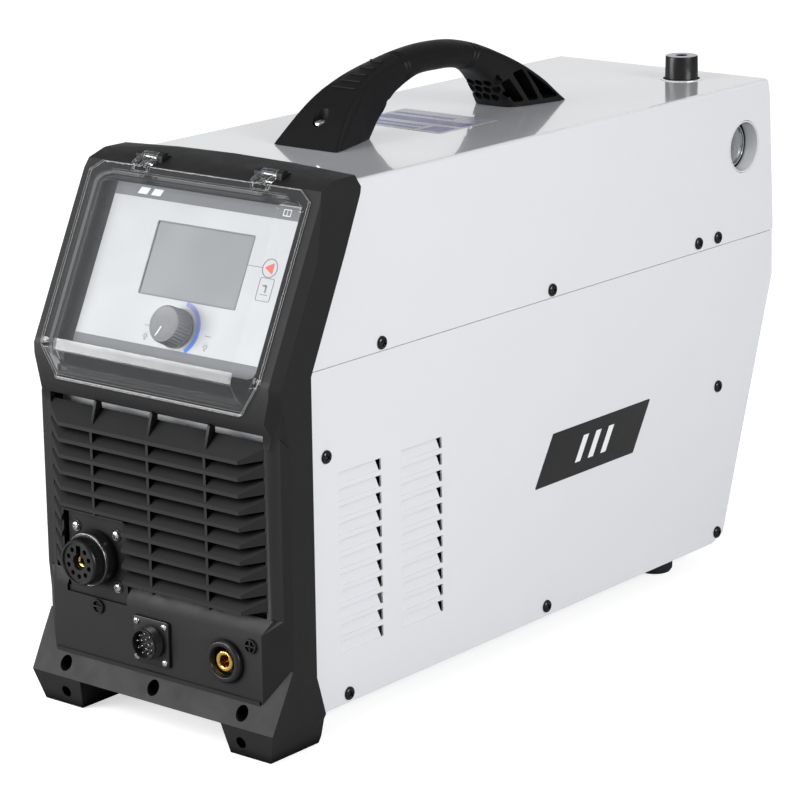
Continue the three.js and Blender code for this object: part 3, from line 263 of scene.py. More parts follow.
def sweep(path, section, up=Z):
    """Carries a closed (u, v) section along an open path of points; v follows up."""
    points, faces = [], []
    count = len(section)
    total = len(path)
    for i, here in enumerate(path):
        here = Vector(here)
        before = Vector(path[i - 1]) if i else here
        after = Vector(path[i + 1]) if i < total - 1 else here
        tangent = (after - before).normalized()
        side = tangent.cross(up)
        side = side.normalized() if side.length > 1e-4 else X.copy()
        rise = side.cross(tangent)
        points += [tuple(here + side * u + rise * v) for u, v in section]
    for row in range(total - 1):
        low, high = row * count, (row + 1) * count
        for i in range(count):
            j = (i + 1) % count
            faces.append((low + i, low + j, high + j, high + i))
    faces.append(tuple(range(count - 1, -1, -1)))
    faces.append(tuple(range((total - 1) * count, total * count)))
    return points, faces


def smooth_path(points, per_span=8):
    """A Catmull-Rom curve through the points."""
    vectors = [Vector(p) for p in points]
    vectors = [vectors[0] * 2 - vectors[1]] + vectors + [vectors[-1] * 2 - vectors[-2]]
    result = []
    for a, b, c, d in zip(vectors, vectors[1:], vectors[2:], vectors[3:]):
        for k in range(per_span):
            t = k / per_span
            result.append(0.5 * (2 * b + (c - a) * t + (2 * a - 5 * b + 4 * c - d) * t ** 2
                                 + (3 * b - a - 3 * c + d) * t ** 3))
    result.append(vectors[-2])
    return result


def torus(radius, thickness, segments=72, around=12, height=0.0):
    profile = [(radius + x, height + y) for x, y in circle(thickness, around)]
    return lathe(profile, segments, closed=True)


# ------------------------------------------------------------------ pieces

def mesh_of(name, shape, matrix, smooth_angle=32.0):
    points, faces = shape
    mesh = bpy.data.meshes.new(name)
    mesh.from_pydata([tuple(p) for p in points], [], faces)
    mesh.transform(matrix)
    work = bmesh.new()
    work.from_mesh(mesh)
    bmesh.ops.remove_doubles(work, verts=work.verts, dist=1e-6)
    bmesh.ops.recalc_face_normals(work, faces=work.faces)
    work.to_mesh(mesh)
    work.free()
    for polygon in mesh.polygons:
        polygon.use_smooth = True
    mesh.set_sharp_from_angle(angle=math.radians(smooth_angle))
    return mesh


def new_object(name, mesh):
    obj = bpy.data.objects.new(name, mesh)
    bpy.context.scene.collection.objects.link(obj)
    return obj


def piece(name, shape, matrix, material, body="case", replaces=(), smooth_angle=32.0):
    """Makes a named piece that rides on a body and may stand for CAD nodes."""
    obj = new_object(name, mesh_of(name, shape, matrix, smooth_angle))
    return dress(obj, material, body, replaces)


def dress(obj, material, body, replaces=()):
    obj.data.materials.clear()
    obj.data.materials.append(material)
    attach(obj, body)
    if replaces:
        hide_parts(*replaces)
    return obj


def carve(obj, *tools, operation="DIFFERENCE"):
    """Cuts (or joins) tool objects with obj's mesh for good and removes the tools."""
    for tool in tools:
        modifier = obj.modifiers.new("carve", "BOOLEAN")
        modifier.operation = operation
        modifier.solver = "EXACT"
        modifier.object = tool
    settle(obj)
    for tool in tools:
        bpy.data.objects.remove(tool)
    return obj


def settle(obj):
    """Applies an object's modifiers."""
    bpy.context.view_layer.update()
    graph = bpy.context.evaluated_depsgraph_get()
    mesh = bpy.data.meshes.new_from_object(obj.evaluated_get(graph), depsgraph=graph)
    obj.modifiers.clear()
    obj.data = mesh
    return obj


def tool(shape, matrix):
    return blank("tool", shape, matrix)


def blank(name, shape, matrix, smooth_angle=32.0):
    """A named object that is still to be carved before it is dressed."""
    return new_object(name, mesh_of(name, shape, matrix, smooth_angle))


def sharpen(obj, degrees):
    """Marks the edges that are sharper than this angle, after carving."""
    obj.data.set_sharp_from_angle(angle=math.radians(degrees))


def anticlockwise(outline):
    return outline if signed_area(outline) > 0 else outline[::-1]


def signed_area(outline):
    return sum(x0 * y1 - x1 * y0 for (x0, y0), (x1, y1) in zip(outline, outline[1:] + outline[:1])) / 2


def soften(obj, width, segments=2, angle=28.0):
    """Rounds the edges of a faceted solid: flat areas are merged first, then the corners are bevelled."""
    flat = obj.modifiers.new("merge_flats", "DECIMATE")
    flat.decimate_type = "DISSOLVE"
    flat.angle_limit = math.radians(1.0)
    round_off = obj.modifiers.new("round_edges", "BEVEL")
    round_off.width = width * MM
    round_off.segments = segments
    round_off.limit_method = "ANGLE"
    round_off.angle_limit = math.radians(angle)
    round_off.use_clamp_overlap = True
    round_off.harden_normals = False
    smooth = obj.modifiers.new("weighted", "WEIGHTED_NORMAL")
    smooth.keep_sharp = True
    for polygon in obj.data.polygons:
        polygon.use_smooth = True
    return obj


# ------------------------------------------------------------------ materials

class Nodes:
    """A small helper that adds and links shader nodes."""

    def __init__(self, name):
        self.material = bpy.data.materials.new(name)
        self.material.use_nodes = True
        self.tree = self.material.node_tree
        self.tree.nodes.clear()
        self.output = self.tree.nodes.new("ShaderNodeOutputMaterial")
        self.position = self.add("ShaderNodeTexCoord").outputs["Object"]

    def add(self, kind, inputs=None, **settings):
        node = self.tree.nodes.new(kind)
        for key, value in settings.items():
            setattr(node, key, value)
        for key, value in (inputs or {}).items():
            self.put(node.inputs[key], value)
        return node

    def put(self, socket, value):
        if isinstance(value, bpy.types.NodeSocket):
            self.tree.links.new(value, socket)
        else:
            socket.default_value = value

    def noise(self, size_mm, detail=3.0, roughness=0.5):
        node = self.add("ShaderNodeTexNoise", {"Scale": 1.0 / (size_mm * MM), "Detail": detail,
                                               "Roughness": roughness})
        self.put(node.inputs["Vector"], self.position)
        return node.outputs["Fac"]

    def mapped(self, value, low, high, from_low=0.0, from_high=1.0):
        node = self.add("ShaderNodeMapRange", {"Value": value, "From Min": from_low, "From Max": from_high,
                                               "To Min": low, "To Max": high})
        return node.outputs["Result"]

    def mix(self, factor, a, b):
        node = self.add("ShaderNodeMix", data_type="RGBA")
        self.put(node.inputs["Factor"], factor)
        self.put(node.inputs["A"], a)
        self.put(node.inputs["B"], b)
        return node.outputs["Result"]

    def math(self, operation, a, b=0.0):
        node = self.add("ShaderNodeMath", operation=operation)
        self.put(node.inputs[0], a)
        self.put(node.inputs[1], b)
        return node.outputs["Value"]

    def bump(self, height, depth_mm, strength=1.0):
        node = self.add("ShaderNodeBump", {"Height": height, "Distance": depth_mm * MM, "Strength": strength})
        return node.outputs["Normal"]

    def shader(self, inputs):
        return self.add("ShaderNodeBsdfPrincipled", inputs).outputs["BSDF"]

    def finish(self, surface):
        self.tree.links.new(surface, self.output.inputs["Surface"])
        return self.material


def rgba(color, alpha=1.0):
    return (color[0], color[1], color[2], alpha)


def scaled(color, factor):
    return tuple(min(1.0, channel * factor) for channel in color)


def edge_glow(nodes, radius_mm, soft=0.995, sharp=0.86):
    """0 on flats, towards 1 on edges; soft and sharp: how far normals agree where it starts and ends."""
    bevel = nodes.add("ShaderNodeBevel", {"Radius": radius_mm * MM}, samples=3).outputs["Normal"]
    geometry = nodes.add("ShaderNodeNewGeometry").outputs["Normal"]
    dot = nodes.add("ShaderNodeVectorMath", {0: bevel, 1: geometry}, operation="DOT_PRODUCT").outputs["Value"]
    return nodes.mapped(dot, 1.0, 0.0, sharp, soft)


def solid_finish(name, color, roughness, metallic=0.0, grain=(0.0, 0.0), mottle=(30.0, 0.05), spread=0.06,
                 coat=0.0, coat_ior=1.5, wear=0.0, wear_color=None, brushed=None, specular=0.5, painted_shade_reach=0.0):
    """Paint, plastic or metal: uneven colour, uneven sheen, a fine surface grain and light edge wear.

    The last argument is the reach, in millimetres, of painted shade: narrow gaps get a darker colour and a
    weaker sheen, standing in for the shadow that falls in them.
    """
    nodes = Nodes(name)
    size, amount = mottle
    cloud = nodes.noise(size, 4.0)
    tint = nodes.mix(cloud, rgba(scaled(color, 1 - amount)), rgba(scaled(color, 1 + amount)))
    if wear > 0:
        edges = edge_glow(nodes, 0.7)
        patches = nodes.mapped(nodes.noise(6.0), 0.25, 1.0, 0.35, 0.65)
        rubbed = nodes.math("MULTIPLY", edges, patches)
        tint = nodes.mix(nodes.math("MULTIPLY", rubbed, wear), tint, rgba(wear_color or scaled(color, 2.2)))
    if painted_shade_reach > 0:
        # painted shade: ambient occlusion darkens the colour and cuts the sheen in narrow gaps
        openness = nodes.add("ShaderNodeAmbientOcclusion", {"Distance": painted_shade_reach * MM}, samples=4)
        shade = nodes.mapped(openness.outputs["AO"], 0.05, 1.0, 0.30, 0.80)
        tint = nodes.mix(shade, (0.0, 0.0, 0.0, 1.0), tint)
        specular = nodes.math("MULTIPLY", shade, specular)
    sheen = nodes.mapped(nodes.noise(size * 0.37, 5.0, 0.6), roughness - spread, roughness + spread, 0.3, 0.7)
    inputs = {"Base Color": tint, "Roughness": sheen, "Metallic": metallic, "Specular IOR Level": specular,
              "Coat Weight": coat, "Coat Roughness": 0.03, "Coat IOR": coat_ior}
    grain_size, grain_depth = grain
    if brushed:
        stretch = nodes.add("ShaderNodeMapping", {"Vector": nodes.position, "Scale": brushed})
        lines = nodes.add("ShaderNodeTexNoise", {"Scale": 900.0, "Detail": 3.0,
                                                 "Vector": stretch.outputs["Vector"]})
        inputs["Normal"] = nodes.bump(lines.outputs["Fac"], 0.02, 0.6)
    elif grain_depth > 0:
        inputs["Normal"] = nodes.bump(nodes.noise(grain_size, 2.0, 0.6), grain_depth)
    return nodes.finish(nodes.shader(inputs))


def moulded_plastic(name, color, roughness, grain_mm=0.55, depth_mm=0.02, wear=0.12, specular=0.5):
    return solid_finish(name, color, roughness, grain=(grain_mm, depth_mm), mottle=(45.0, 0.06), wear=wear,
                        specular=specular)


def metal(name, color, roughness, brushed=None, grain=(1.2, 0.006)):
    return solid_finish(name, color, roughness, metallic=1.0, mottle=(9.0, 0.07), grain=grain,
                        brushed=brushed)


def clear_plastic(name, tint=(0.985, 0.99, 0.995), roughness=0.03, haze=0.02, ior=1.32, painted_rim_glow=0.0):
    """Clear moulding that lets light through to what is behind it, with faint scuffs and a milky trace.

    The last argument paints a glow on the sharp edges: an emission that stands in for the light a clear sheet
    gathers there.
    """
    nodes = Nodes(name)
    scuff = nodes.noise(14.0, 6.0, 0.65)
    rough = nodes.mapped(scuff, roughness, roughness + 0.07, 0.45, 0.75)
    wave = nodes.bump(nodes.noise(38.0, 1.0), 0.12)
    through = nodes.add("ShaderNodeBsdfTransparent", {"Color": rgba(tint)}).outputs["BSDF"]
    gloss = nodes.add("ShaderNodeBsdfGlossy", {"Color": (0.6, 0.6, 0.6, 1), "Roughness": rough,
                                               "Normal": wave}).outputs["BSDF"]
    milk = nodes.add("ShaderNodeBsdfDiffuse", {"Color": (0.9, 0.92, 0.94, 1)}).outputs["BSDF"]
    facing = nodes.add("ShaderNodeFresnel", {"IOR": ior, "Normal": wave}).outputs["Fac"]
    sheet = nodes.add("ShaderNodeMixShader", {0: facing, 1: through, 2: gloss}).outputs["Shader"]
    sheet = nodes.add("ShaderNodeMixShader", {0: haze, 1: sheet, 2: milk}).outputs["Shader"]
    if painted_rim_glow > 0:
        # painted highlight: the sharp edges glow with a white emission mixed in by the edge mask
        glow = nodes.add("ShaderNodeEmission", {"Color": (1, 1, 1, 1), "Strength": 0.9}).outputs["Emission"]
        edge = nodes.math("MULTIPLY", edge_glow(nodes, 0.7, 0.97, 0.72), painted_rim_glow)
        sheet = nodes.add("ShaderNodeMixShader", {0: edge, 1: sheet, 2: glow}).outputs["Shader"]
    path = nodes.add("ShaderNodeLightPath").outputs["Is Shadow Ray"]
    return nodes.finish(nodes.add("ShaderNodeMixShader", {0: path, 1: sheet, 2: through}).outputs["Shader"])


def bezel_finish():
    # the bezel's colour and sheen get painted shade in gaps up to about 14 mm across
    return solid_finish("bezel_moulding", (0.0135, 0.0135, 0.0142), 0.50, grain=(0.5, 0.03),
                        mottle=(45.0, 0.06), wear=0.08, specular=0.22, painted_shade_reach=14.0)


def dark_moulding(name="dark_moulding", roughness=0.42, color=(0.012, 0.012, 0.013)):
    return moulded_plastic(name, color, roughness, 0.4, 0.012, wear=0.10, specular=0.4)


def white_paint():
    return solid_finish("white_gloss_paint", (0.78, 0.79, 0.82), 0.16, grain=(3.5, 0.004),
                        mottle=(160.0, 0.012), spread=0.03, coat=1.0, coat_ior=1.85)


def panel_print(name, color, roughness=0.4):
    return solid_finish(name, color, roughness, grain=(0.3, 0.004), mottle=(25.0, 0.03), spread=0.04)


def silver_film():
    nodes = Nodes("silver_panel_film")
    flake = nodes.noise(0.25, 1.0)
    cloud = nodes.noise(35.0, 3.0)
    tint = nodes.mix(cloud, (0.49, 0.49, 0.495, 1), (0.56, 0.56, 0.565, 1))
    tint = nodes.mix(nodes.mapped(flake, 0.0, 0.25, 0.4, 0.8), tint, (0.68, 0.68, 0.685, 1))
    inputs = {"Base Color": tint, "Roughness": nodes.mapped(cloud, 0.32, 0.42), "Metallic": 0.15,
              "Normal": nodes.bump(flake, 0.006)}
    return nodes.finish(nodes.shader(inputs))


def display_glass():
    """Unlit liquid-crystal glass: grey, cloudy in broad patches, with a fine pixel grid."""
    nodes = Nodes("display_glass")
    split = nodes.add("ShaderNodeSeparateXYZ", {"Vector": nodes.position})
    grid_x = nodes.math("FRACT", nodes.math("MULTIPLY", split.outputs["X"], 1 / (0.45 * MM)))
    grid_z = nodes.math("FRACT", nodes.math("MULTIPLY", split.outputs["Z"], 1 / (0.40 * MM)))
    upright = nodes.math("GREATER_THAN", grid_x, 0.86)
    level = nodes.math("GREATER_THAN", grid_z, 0.86)
    lines = nodes.math("MAXIMUM", upright, level)
    cloud = nodes.noise(48.0, 1.0)
    tint = nodes.mix(cloud, (0.27, 0.275, 0.28, 1), (0.40, 0.405, 0.41, 1))
    tint = nodes.mix(nodes.math("MULTIPLY", lines, 0.10), tint, (0.18, 0.18, 0.18, 1))
    return nodes.finish(nodes.shader({"Base Color": tint, "Roughness": 0.14, "Coat Weight": 0.4,
                                      "Coat Roughness": 0.04}))


def circuit_board():
    nodes = Nodes("circuit_board")
    cells = nodes.add("ShaderNodeTexBrick", {"Vector": nodes.position, "Scale": 60.0, "Mortar Size": 0.012,
                                             "Color1": (0.02, 0.14, 0.05, 1),
                                             "Color2": (0.025, 0.17, 0.06, 1),
                                             "Mortar": (0.10, 0.26, 0.10, 1)})
    rough = nodes.mapped(nodes.noise(5.0), 0.30, 0.5)
    return nodes.finish(nodes.shader({"Base Color": cells.outputs["Color"], "Roughness": rough,
                                      "Normal": nodes.bump(cells.outputs["Fac"], 0.05)}))


def rubber(name="rubber", color=(0.012, 0.012, 0.012)):
    return solid_finish(name, color, 0.72, grain=(0.9, 0.03), mottle=(12.0, 0.10), specular=0.3)


MAT = {
    "bezel": bezel_finish(),
    "paint": white_paint(),
    "dark_paint": solid_finish("satin_black_paint", (0.020, 0.020, 0.022), 0.42, grain=(0.7, 0.012),
                               wear=0.15, wear_color=(0.25, 0.25, 0.26)),
    "galvanised": metal("zinc_sheet", (0.55, 0.57, 0.59), 0.42, grain=(9.0, 0.02)),
    "black": dark_moulding(),
    "gloss_black": dark_moulding("gloss_black_plating", 0.20, (0.010, 0.010, 0.011)),
    "socket": dark_moulding("socket_moulding", 0.30, (0.010, 0.010, 0.010)),
    "handle": moulded_plastic("handle_moulding", (0.006, 0.006, 0.0064), 0.50, 0.6, 0.018, wear=0.05,
                              specular=0.17),
    # the cover's sharp edges get a painted glow
    "clear": clear_plastic("clear_cover_plastic", painted_rim_glow=0.95),
    "bowl": clear_plastic("bowl_plastic", (0.90, 0.94, 0.97), 0.08, 0.2),
    "lens": clear_plastic("lens_plastic", (0.98, 0.99, 0.99), 0.02, 0.03),
    "film": silver_film(),
    "display": display_glass(),
    "knob": moulded_plastic("knob_moulding", (0.20, 0.20, 0.205), 0.45, 0.5, 0.02, wear=0.2),
    "steel": metal("plated_steel", (0.66, 0.67, 0.69), 0.24),
    "brass": metal("turned_brass", (0.86, 0.55, 0.16), 0.22, grain=(0.8, 0.01)),
    "copper": metal("turned_copper", (0.78, 0.40, 0.20), 0.26, grain=(0.8, 0.01)),
    "aluminium": metal("aluminium", (0.74, 0.75, 0.77), 0.36, grain=(0.9, 0.02)),
    "board": circuit_board(),
    "sleeve": solid_finish("capacitor_sleeve", (0.02, 0.045, 0.10), 0.28, grain=(4.0, 0.01)),
    "core": solid_finish("core_and_tape", (0.06, 0.05, 0.035), 0.55, grain=(1.6, 0.06)),
    "hose": solid_finish("blue_hose", (0.02, 0.09, 0.36), 0.34, grain=(2.2, 0.01)),
    "cable": rubber("cable_rubber"),
    "rubber": rubber(),
    "dark_print": panel_print("grey_band_print", (0.155, 0.158, 0.165)),
    "line_print": panel_print("line_print", (0.20, 0.21, 0.22)),
    "white_print": panel_print("white_print", (0.82, 0.83, 0.85)),
    "red_print": panel_print("red_print", (0.82, 0.10, 0.06)),
    "dial": panel_print("dial_card", (0.80, 0.80, 0.78)),
    "ink": panel_print("black_ink", (0.015, 0.015, 0.016), 0.3),
    "label": panel_print("label_film", (0.42, 0.42, 0.48), 0.28),
    "violet_print": panel_print("violet_print", (0.10, 0.10, 0.30), 0.3),
    "green_print": panel_print("green_print", (0.04, 0.35, 0.10)),
    "edge": metal("grey_rim_metal", (0.30, 0.30, 0.30), 0.35),
    "gold": metal("bright_brass", (0.95, 0.60, 0.14), 0.20, grain=(0.7, 0.008)),
}


# ------------------------------------------------------------------ fasteners

def cross_recess(width, length, depth, top):
    """The two tapered arms of a cross-slot, as a cutter."""
    arm = [(-length, -width), (length, -width), (length, width), (-length, width)]
    wide = slab(arm, top - depth, top + 1.0)
    tall = turned_about_z(slab(arm, top - depth, top + 1.0), math.pi / 2)
    return wide, tall


def pan_head(radius, height, segments=28):
    rings = 6
    dome = []
    for i in range(rings):
        angle = i / rings * math.pi / 2
        dome.append((radius * math.cos(angle) ** 0.7, height * (0.25 + 0.75 * math.sin(angle))))
    return lathe([(0, -0.4), (radius, -0.4)] + dome + [(0, height)], segments)


def make_screw_mesh(name, radius, height):
    """A pan head with a cross recess, in millimetres round the origin, z out."""
    head = tool(pan_head(radius, height), Matrix.Identity(4))
    wide, tall = cross_recess(radius * 0.13, radius * 0.58, height * 0.62, height)
    carve(head, tool(wide, Matrix.Identity(4)), tool(tall, Matrix.Identity(4)))
    mesh = head.data
    mesh.name = name
    bpy.data.objects.remove(head)
    return mesh


CASE_SCREW = make_screw_mesh("case_screw_head", 5.0, 2.6)
SMALL_SCREW = make_screw_mesh("small_screw_head", 3.3, 2.2)


def screws(prefix, head, places, material):
    """Separate screws that share one head shape, each turned by its own angle."""
    turn = Random(prefix)
    for number, where in enumerate(places, 1):
        mesh = head.copy()
        mesh.transform(where @ Matrix.Rotation(turn.uniform(0, math.pi), 4, "Z"))
        for polygon in mesh.polygons:
            polygon.use_smooth = True
        mesh.set_sharp_from_angle(angle=math.radians(35))
        obj = new_object(f"{prefix}_{number}", mesh)
        dress(obj, material, "case")


SIDE_SCREWS = [(48.5, 278), (253.5, 278), (453, 279), (481, 279), (-14.7, 207.7), (5.9, 25.1), (246.3, 26.1),
               (485.6, 26.4), (484, 153)]


def case_screws():
    half = PANEL_HIGH.x / MM
    for name, side in (("left", -1), ("right", 1)):
        places = [place(design(side * half, y, z), Y * side, X * side) for y, z in SIDE_SCREWS]
        screws(f"case_screw_{name}", CASE_SCREW, places, MAT["gloss_black"])


# ------------------------------------------------------------------ carried-over parts

def dress_frame():
    """Finishes and softened edges of the design's own parts."""
    finishes = {
        "front_bezel": ("bezel", 0.9), "inner_front_plate": ("paint", 0.3), "control_panel": ("film", 0),
        "lcd_display": ("display", 0), "encoder_body": ("steel", 0.2), "encoder_plunger": ("black", 0),
        "encoder_shaft": ("aluminium", 0.2), "control_board": ("board", 0),
        "cover_hinge_pin_left": ("steel", 0.2), "cover_hinge_pin_right": ("steel", 0.2),
        "top_cover": ("paint", 0), "side_panel_left": ("paint", 0),
        "side_panel_right": ("paint", 0), "base_tray": ("galvanised", 0.3), "rear_panel": ("dark_paint", 0.4),
        "regulator_body": ("aluminium", 0.8), "filter_bowl": ("bowl", 0.5),
        "bowl_drain_button": ("black", 0.4),
        "regulator_stem": ("brass", 0.3), "air_inlet_fitting": ("brass", 0), "solenoid_valve": ("black", 0.8),
        "valve_plunger": ("steel", 0.3), "air_hose": ("hose", 0), "fan_frame": ("black", 0.8),
        "mains_switch_body": ("black", 0.6), "heatsink": ("aluminium", 0.3), "main_board": ("board", 0),
        "bus_capacitor_left": ("sleeve", 0.6), "bus_capacitor_right": ("sleeve", 0.6),
        "power_transformer": ("core", 1.2), "output_inductor": ("copper", 1.2),
    }
    for node, (material, edge) in finishes.items():
        obj = NODES[node]
        obj.data.materials.clear()
        obj.data.materials.append(MAT[material])
        weld = obj.modifiers.new("weld", "WELD")
        weld.merge_threshold = 1e-6
        if edge > 0:
            soften(obj, edge, segments=3 if node == "front_bezel" else 2)


# ------------------------------------------------------------------ clear cover

COVER_HALF = 105.0
COVER_TOP = 138.0
CORNER_CUT = (10.5, 7.7)  # slanted upper corners: across, and up the face
LEAF_LOW = -24.5  # lower edge of the leaf that hangs below the face
LEAF_HALF = 88.5  # its half width there
LEAF_STEP = 1.0
RIM_H = 2.6
RIM_BAND = 17.5  # the dome's lower wall ends this far below the kink, above a flat band
RIM_BEAD = 1.0  # raised bead along the lower edge
DOME_H = 9.8
DOME_SIDE = (84.8, 99.5)  # the dome's side wall runs between these half widths
DOME_CROWN = (124.5, 133.0)  # and its upper wall between these heights
DOME_ROUND = 1.4  # how far the rounding of the dome's upper corners reaches, in widths of its wall
BEAD_START = -21.5  # the bead rises from here downwards
KINK = math.radians(26)
BEND_REACH = 3.0  # the bend at the kink reaches this far to either side


def smoothstep(t):
    t = max(0.0, min(1.0, t))
    return t * t * (3 - 2 * t)


def cover_half_width(t):
    across, up = CORNER_CUT
    if t > COVER_TOP - up:
        return COVER_HALF - (t - COVER_TOP + up) * across / up
    if t < 0:
        return COVER_HALF + (COVER_HALF - LEAF_HALF) * t / -LEAF_LOW
    return COVER_HALF


def cover_height(x, t):
    """Height over the face: the flat rim, then a straight wall up to the flat front."""
    side = (DOME_SIDE[1] - abs(x)) / (DOME_SIDE[1] - DOME_SIDE[0])
    crown = (DOME_CROWN[1] - t) / (DOME_CROWN[1] - DOME_CROWN[0])
    wall = min(side, crown)
    if side < DOME_ROUND and crown < DOME_ROUND:
        wall = DOME_ROUND - math.hypot(max(0.0, DOME_ROUND - side), max(0.0, DOME_ROUND - crown))
    rise = max(0.0, min(1.0, wall))
    foot = min(1.0, max(0.0, (t + RIM_BAND) / (RIM_BAND - 1.0)))
    bead = RIM_BEAD * smoothstep((BEAD_START - t) / 1.5)
    return RIM_H + LEAF_STEP * smoothstep(-t / BEND_REACH) + (DOME_H - RIM_H) * rise * foot + bead


def cover_x(column, t):
    """Across place of a column: the dome keeps its width, the flat border beside it takes up the taper."""
    inner = DOME_SIDE[0]
    if abs(column) <= inner:
        return column
    share = (abs(column) - inner) / (COVER_HALF - inner)
    return math.copysign(inner + share * (cover_half_width(t) - inner), column)


def cover_base(t):
    """Point on the sheet the cover lies on and the direction out of it, in the face frame (y, z)."""
    down = Vector((-math.cos(KINK), -math.sin(KINK)))  # the upright leaf, in face (y, z) terms
    out_low = Vector((-math.sin(KINK), math.cos(KINK)))
    if t >= BEND_REACH:
        return Vector((t, 0.0)), Vector((0.0, 1.0))
    if t <= -BEND_REACH:
        return down * -t, out_low
    blend = (BEND_REACH - t) / (2 * BEND_REACH)
    angle = KINK * blend
    point = Vector((max(t, 0.0), 0.0)) + down * max(-t, 0.0)
    round_in = -0.35 * (1 - (t / BEND_REACH) ** 2)
    normal = Vector((-math.sin(angle), math.cos(angle)))
    return point + normal * round_in, normal


def cover_rows():
    rows = [LEAF_LOW + i * 0.5 for i in range(12)]
    rows += [-18.0 + i * 2.05 for i in range(7)]
    rows += [-3.5 + i * 0.7 for i in range(11)]
    rows += [5 + i * 5 for i in range(22)]
    rows += [113 + i * 1.0 for i in range(26)]
    return rows


def cover_columns():
    half = [0, 8, 16, 24, 32, 40, 48, 56, 63, 69, 74, 78, 82, 84, DOME_SIDE[0]]
    half += [86 + 2 * i for i in range(7)] + [DOME_SIDE[1], 101, 103, 104, COVER_HALF]
    return [-x for x in reversed(half[1:])] + half


def clear_cover():
    rows, columns = cover_rows(), cover_columns()
    points, faces = [], []
    for t in rows:
        base, out = cover_base(t)
        for column in columns:
            spot = base + out * cover_height(column, t)
            points.append((cover_x(column, t), spot.x, spot.y))
    width = len(columns)
    for r in range(len(rows) - 1):
        for c in range(width - 1):
            a = r * width + c
            faces.append((a, a + 1, a + width + 1, a + width))
    obj = blank("clear_cover_shell", (points, faces), FACE, 25)
    thicken = obj.modifiers.new("thickness", "SOLIDIFY")
    thicken.thickness = 2.2 * MM
    thicken.offset = -1.0 if obj.data.polygons[0].normal.dot(FACE_NORMAL) > 0 else 1.0
    thicken.use_even_offset = True
    settle(obj)
    pivot = Vector(JOINTS["clear_cover_hinge"]["pos_m"])
    for side in (-1, 1):
        claw = cover_claw(side, pivot)
        carve(obj, claw, operation="UNION")
        bore = lathe([(0, -12), (1.8, -12), (1.8, 12), (0, 12)], 20)
        hinge_x = middle("cover_hinge_pin_right").x * side
        carve(obj, tool(bore, place(Vector((hinge_x, pivot.y, pivot.z)), Y, X)))
    edge = obj.modifiers.new("round_edges", "BEVEL")
    edge.width = 0.45 * MM
    edge.segments = 2
    edge.limit_method = "ANGLE"
    edge.angle_limit = math.radians(50)
    settle(obj)
    for polygon in obj.data.polygons:
        polygon.use_smooth = True
    sharpen(obj, 24)
    dress(obj, MAT["clear"], "lid", ["clear_cover"])


def cover_claw(side, pivot):
    """A hinge knuckle and the curved arm that joins it to the cover's top edge."""
    hinge_x = middle("cover_hinge_pin_right").x * side
    turn = place(Vector((hinge_x, pivot.y, pivot.z)), Y, X)  # local x back, local y up, z across
    knuckle = circle(3.9, 28)
    rim = FACE_ORIGIN + FACE_UP * 134 * MM + FACE_NORMAL * 0.7 * MM - pivot
    rim_out = FACE_ORIGIN + FACE_UP * 133 * MM + FACE_NORMAL * 2.5 * MM - pivot
    bulge = FACE_ORIGIN + FACE_UP * 139.4 * MM + FACE_NORMAL * 5.6 * MM - pivot
    outline = [(v.y / MM, v.z / MM) for v in (rim_out, bulge)] + [(0.6, 3.8), (-1.2, -2.9)]
    outline += [(rim.y / MM, rim.z / MM)]
    arm = fillet(outline, [0.5, 3.5, 1.0, 1.0, 0.5], closed=True)
    obj = tool(slab(knuckle, -7.5, 7.5, 0.6, 0.6), turn)
    return carve(obj, tool(slab(anticlockwise(arm), -7.3, 7.3, 0.5, 0.5), turn),
                 operation="UNION")


# ------------------------------------------------------------------ control panel print and knob

PRINT = 0.14  # thickness of printed film
FILM_HALF = 88.0  # half width of the pale film; dark borders run beside it


def printed(name, outline, material):
    shape = slab(outline, PANEL_H + 0.02, PANEL_H + PRINT)
    return piece(name, shape, FACE, material, "case")


def film_piece(name, shape, material, height=0.02):
    """A print made of any shape, lying at a height over the panel."""
    return piece(name, shifted(shape, z=PANEL_H + height), FACE, material, "case")


def box_outline(x0, x1, y0, y1):
    return [(x0, y0), (x1, y0), (x1, y1), (x0, y1)]


def ring_shape(outer, inner, low, high):
    """A flat ring between two outlines with equal point counts."""
    count = len(outer)
    points = [(x, y, z) for z in (low, high) for outline in (outer, inner) for x, y in outline]
    faces = []
    for i in range(count):
        j = (i + 1) % count
        low_outer, low_inner, high_outer, high_inner = 0, count, 2 * count, 3 * count
        faces.append((low_outer + i, low_outer + j, high_outer + j, high_outer + i))
        faces.append((low_inner + j, low_inner + i, high_inner + i, high_inner + j))
        faces.append((high_outer + i, high_outer + j, high_inner + j, high_inner + i))
        faces.append((low_outer + j, low_outer + i, low_inner + i, low_inner + j))
    return points, faces


def frame_outline(half_x, half_y, radius, width, cx, cy):
    outer = rounded_box(half_x, half_y, radius, 5, cx, cy)
    inner = rounded_box(half_x - width, half_y - width, max(0.2, radius - width), 5, cx, cy)
    return outer, inner


def arc_band(radius, width, start, end, steps=40):
    angles = [math.radians(start + (end - start) * i / steps) for i in range(steps + 1)]
    far, near = radius + width / 2, radius - width / 2
    outer = [(far * math.cos(a), far * math.sin(a)) for a in angles]
    inner = [(near * math.cos(a), near * math.sin(a)) for a in reversed(angles)]
    return outer + inner


def arc_print():
    """Level arc beside the knob, violet at its upper end and bright blue at its lower end."""
    nodes = Nodes("level_arc_print")
    split = nodes.add("ShaderNodeSeparateXYZ", {"Vector": nodes.position})
    low = (KNOB @ Vector((0, -18, 0))).z
    high = (KNOB @ Vector((0, 20, 0))).z
    blend = nodes.mapped(split.outputs["Z"], 0.0, 1.0, low, high)
    blend = nodes.math("ADD", blend, nodes.mapped(nodes.noise(3.0), -0.02, 0.02))
    tint = nodes.mix(blend, (0.03, 0.22, 0.80, 1), (0.36, 0.30, 0.62, 1))
    return nodes.finish(nodes.shader({"Base Color": tint, "Roughness": 0.35}))


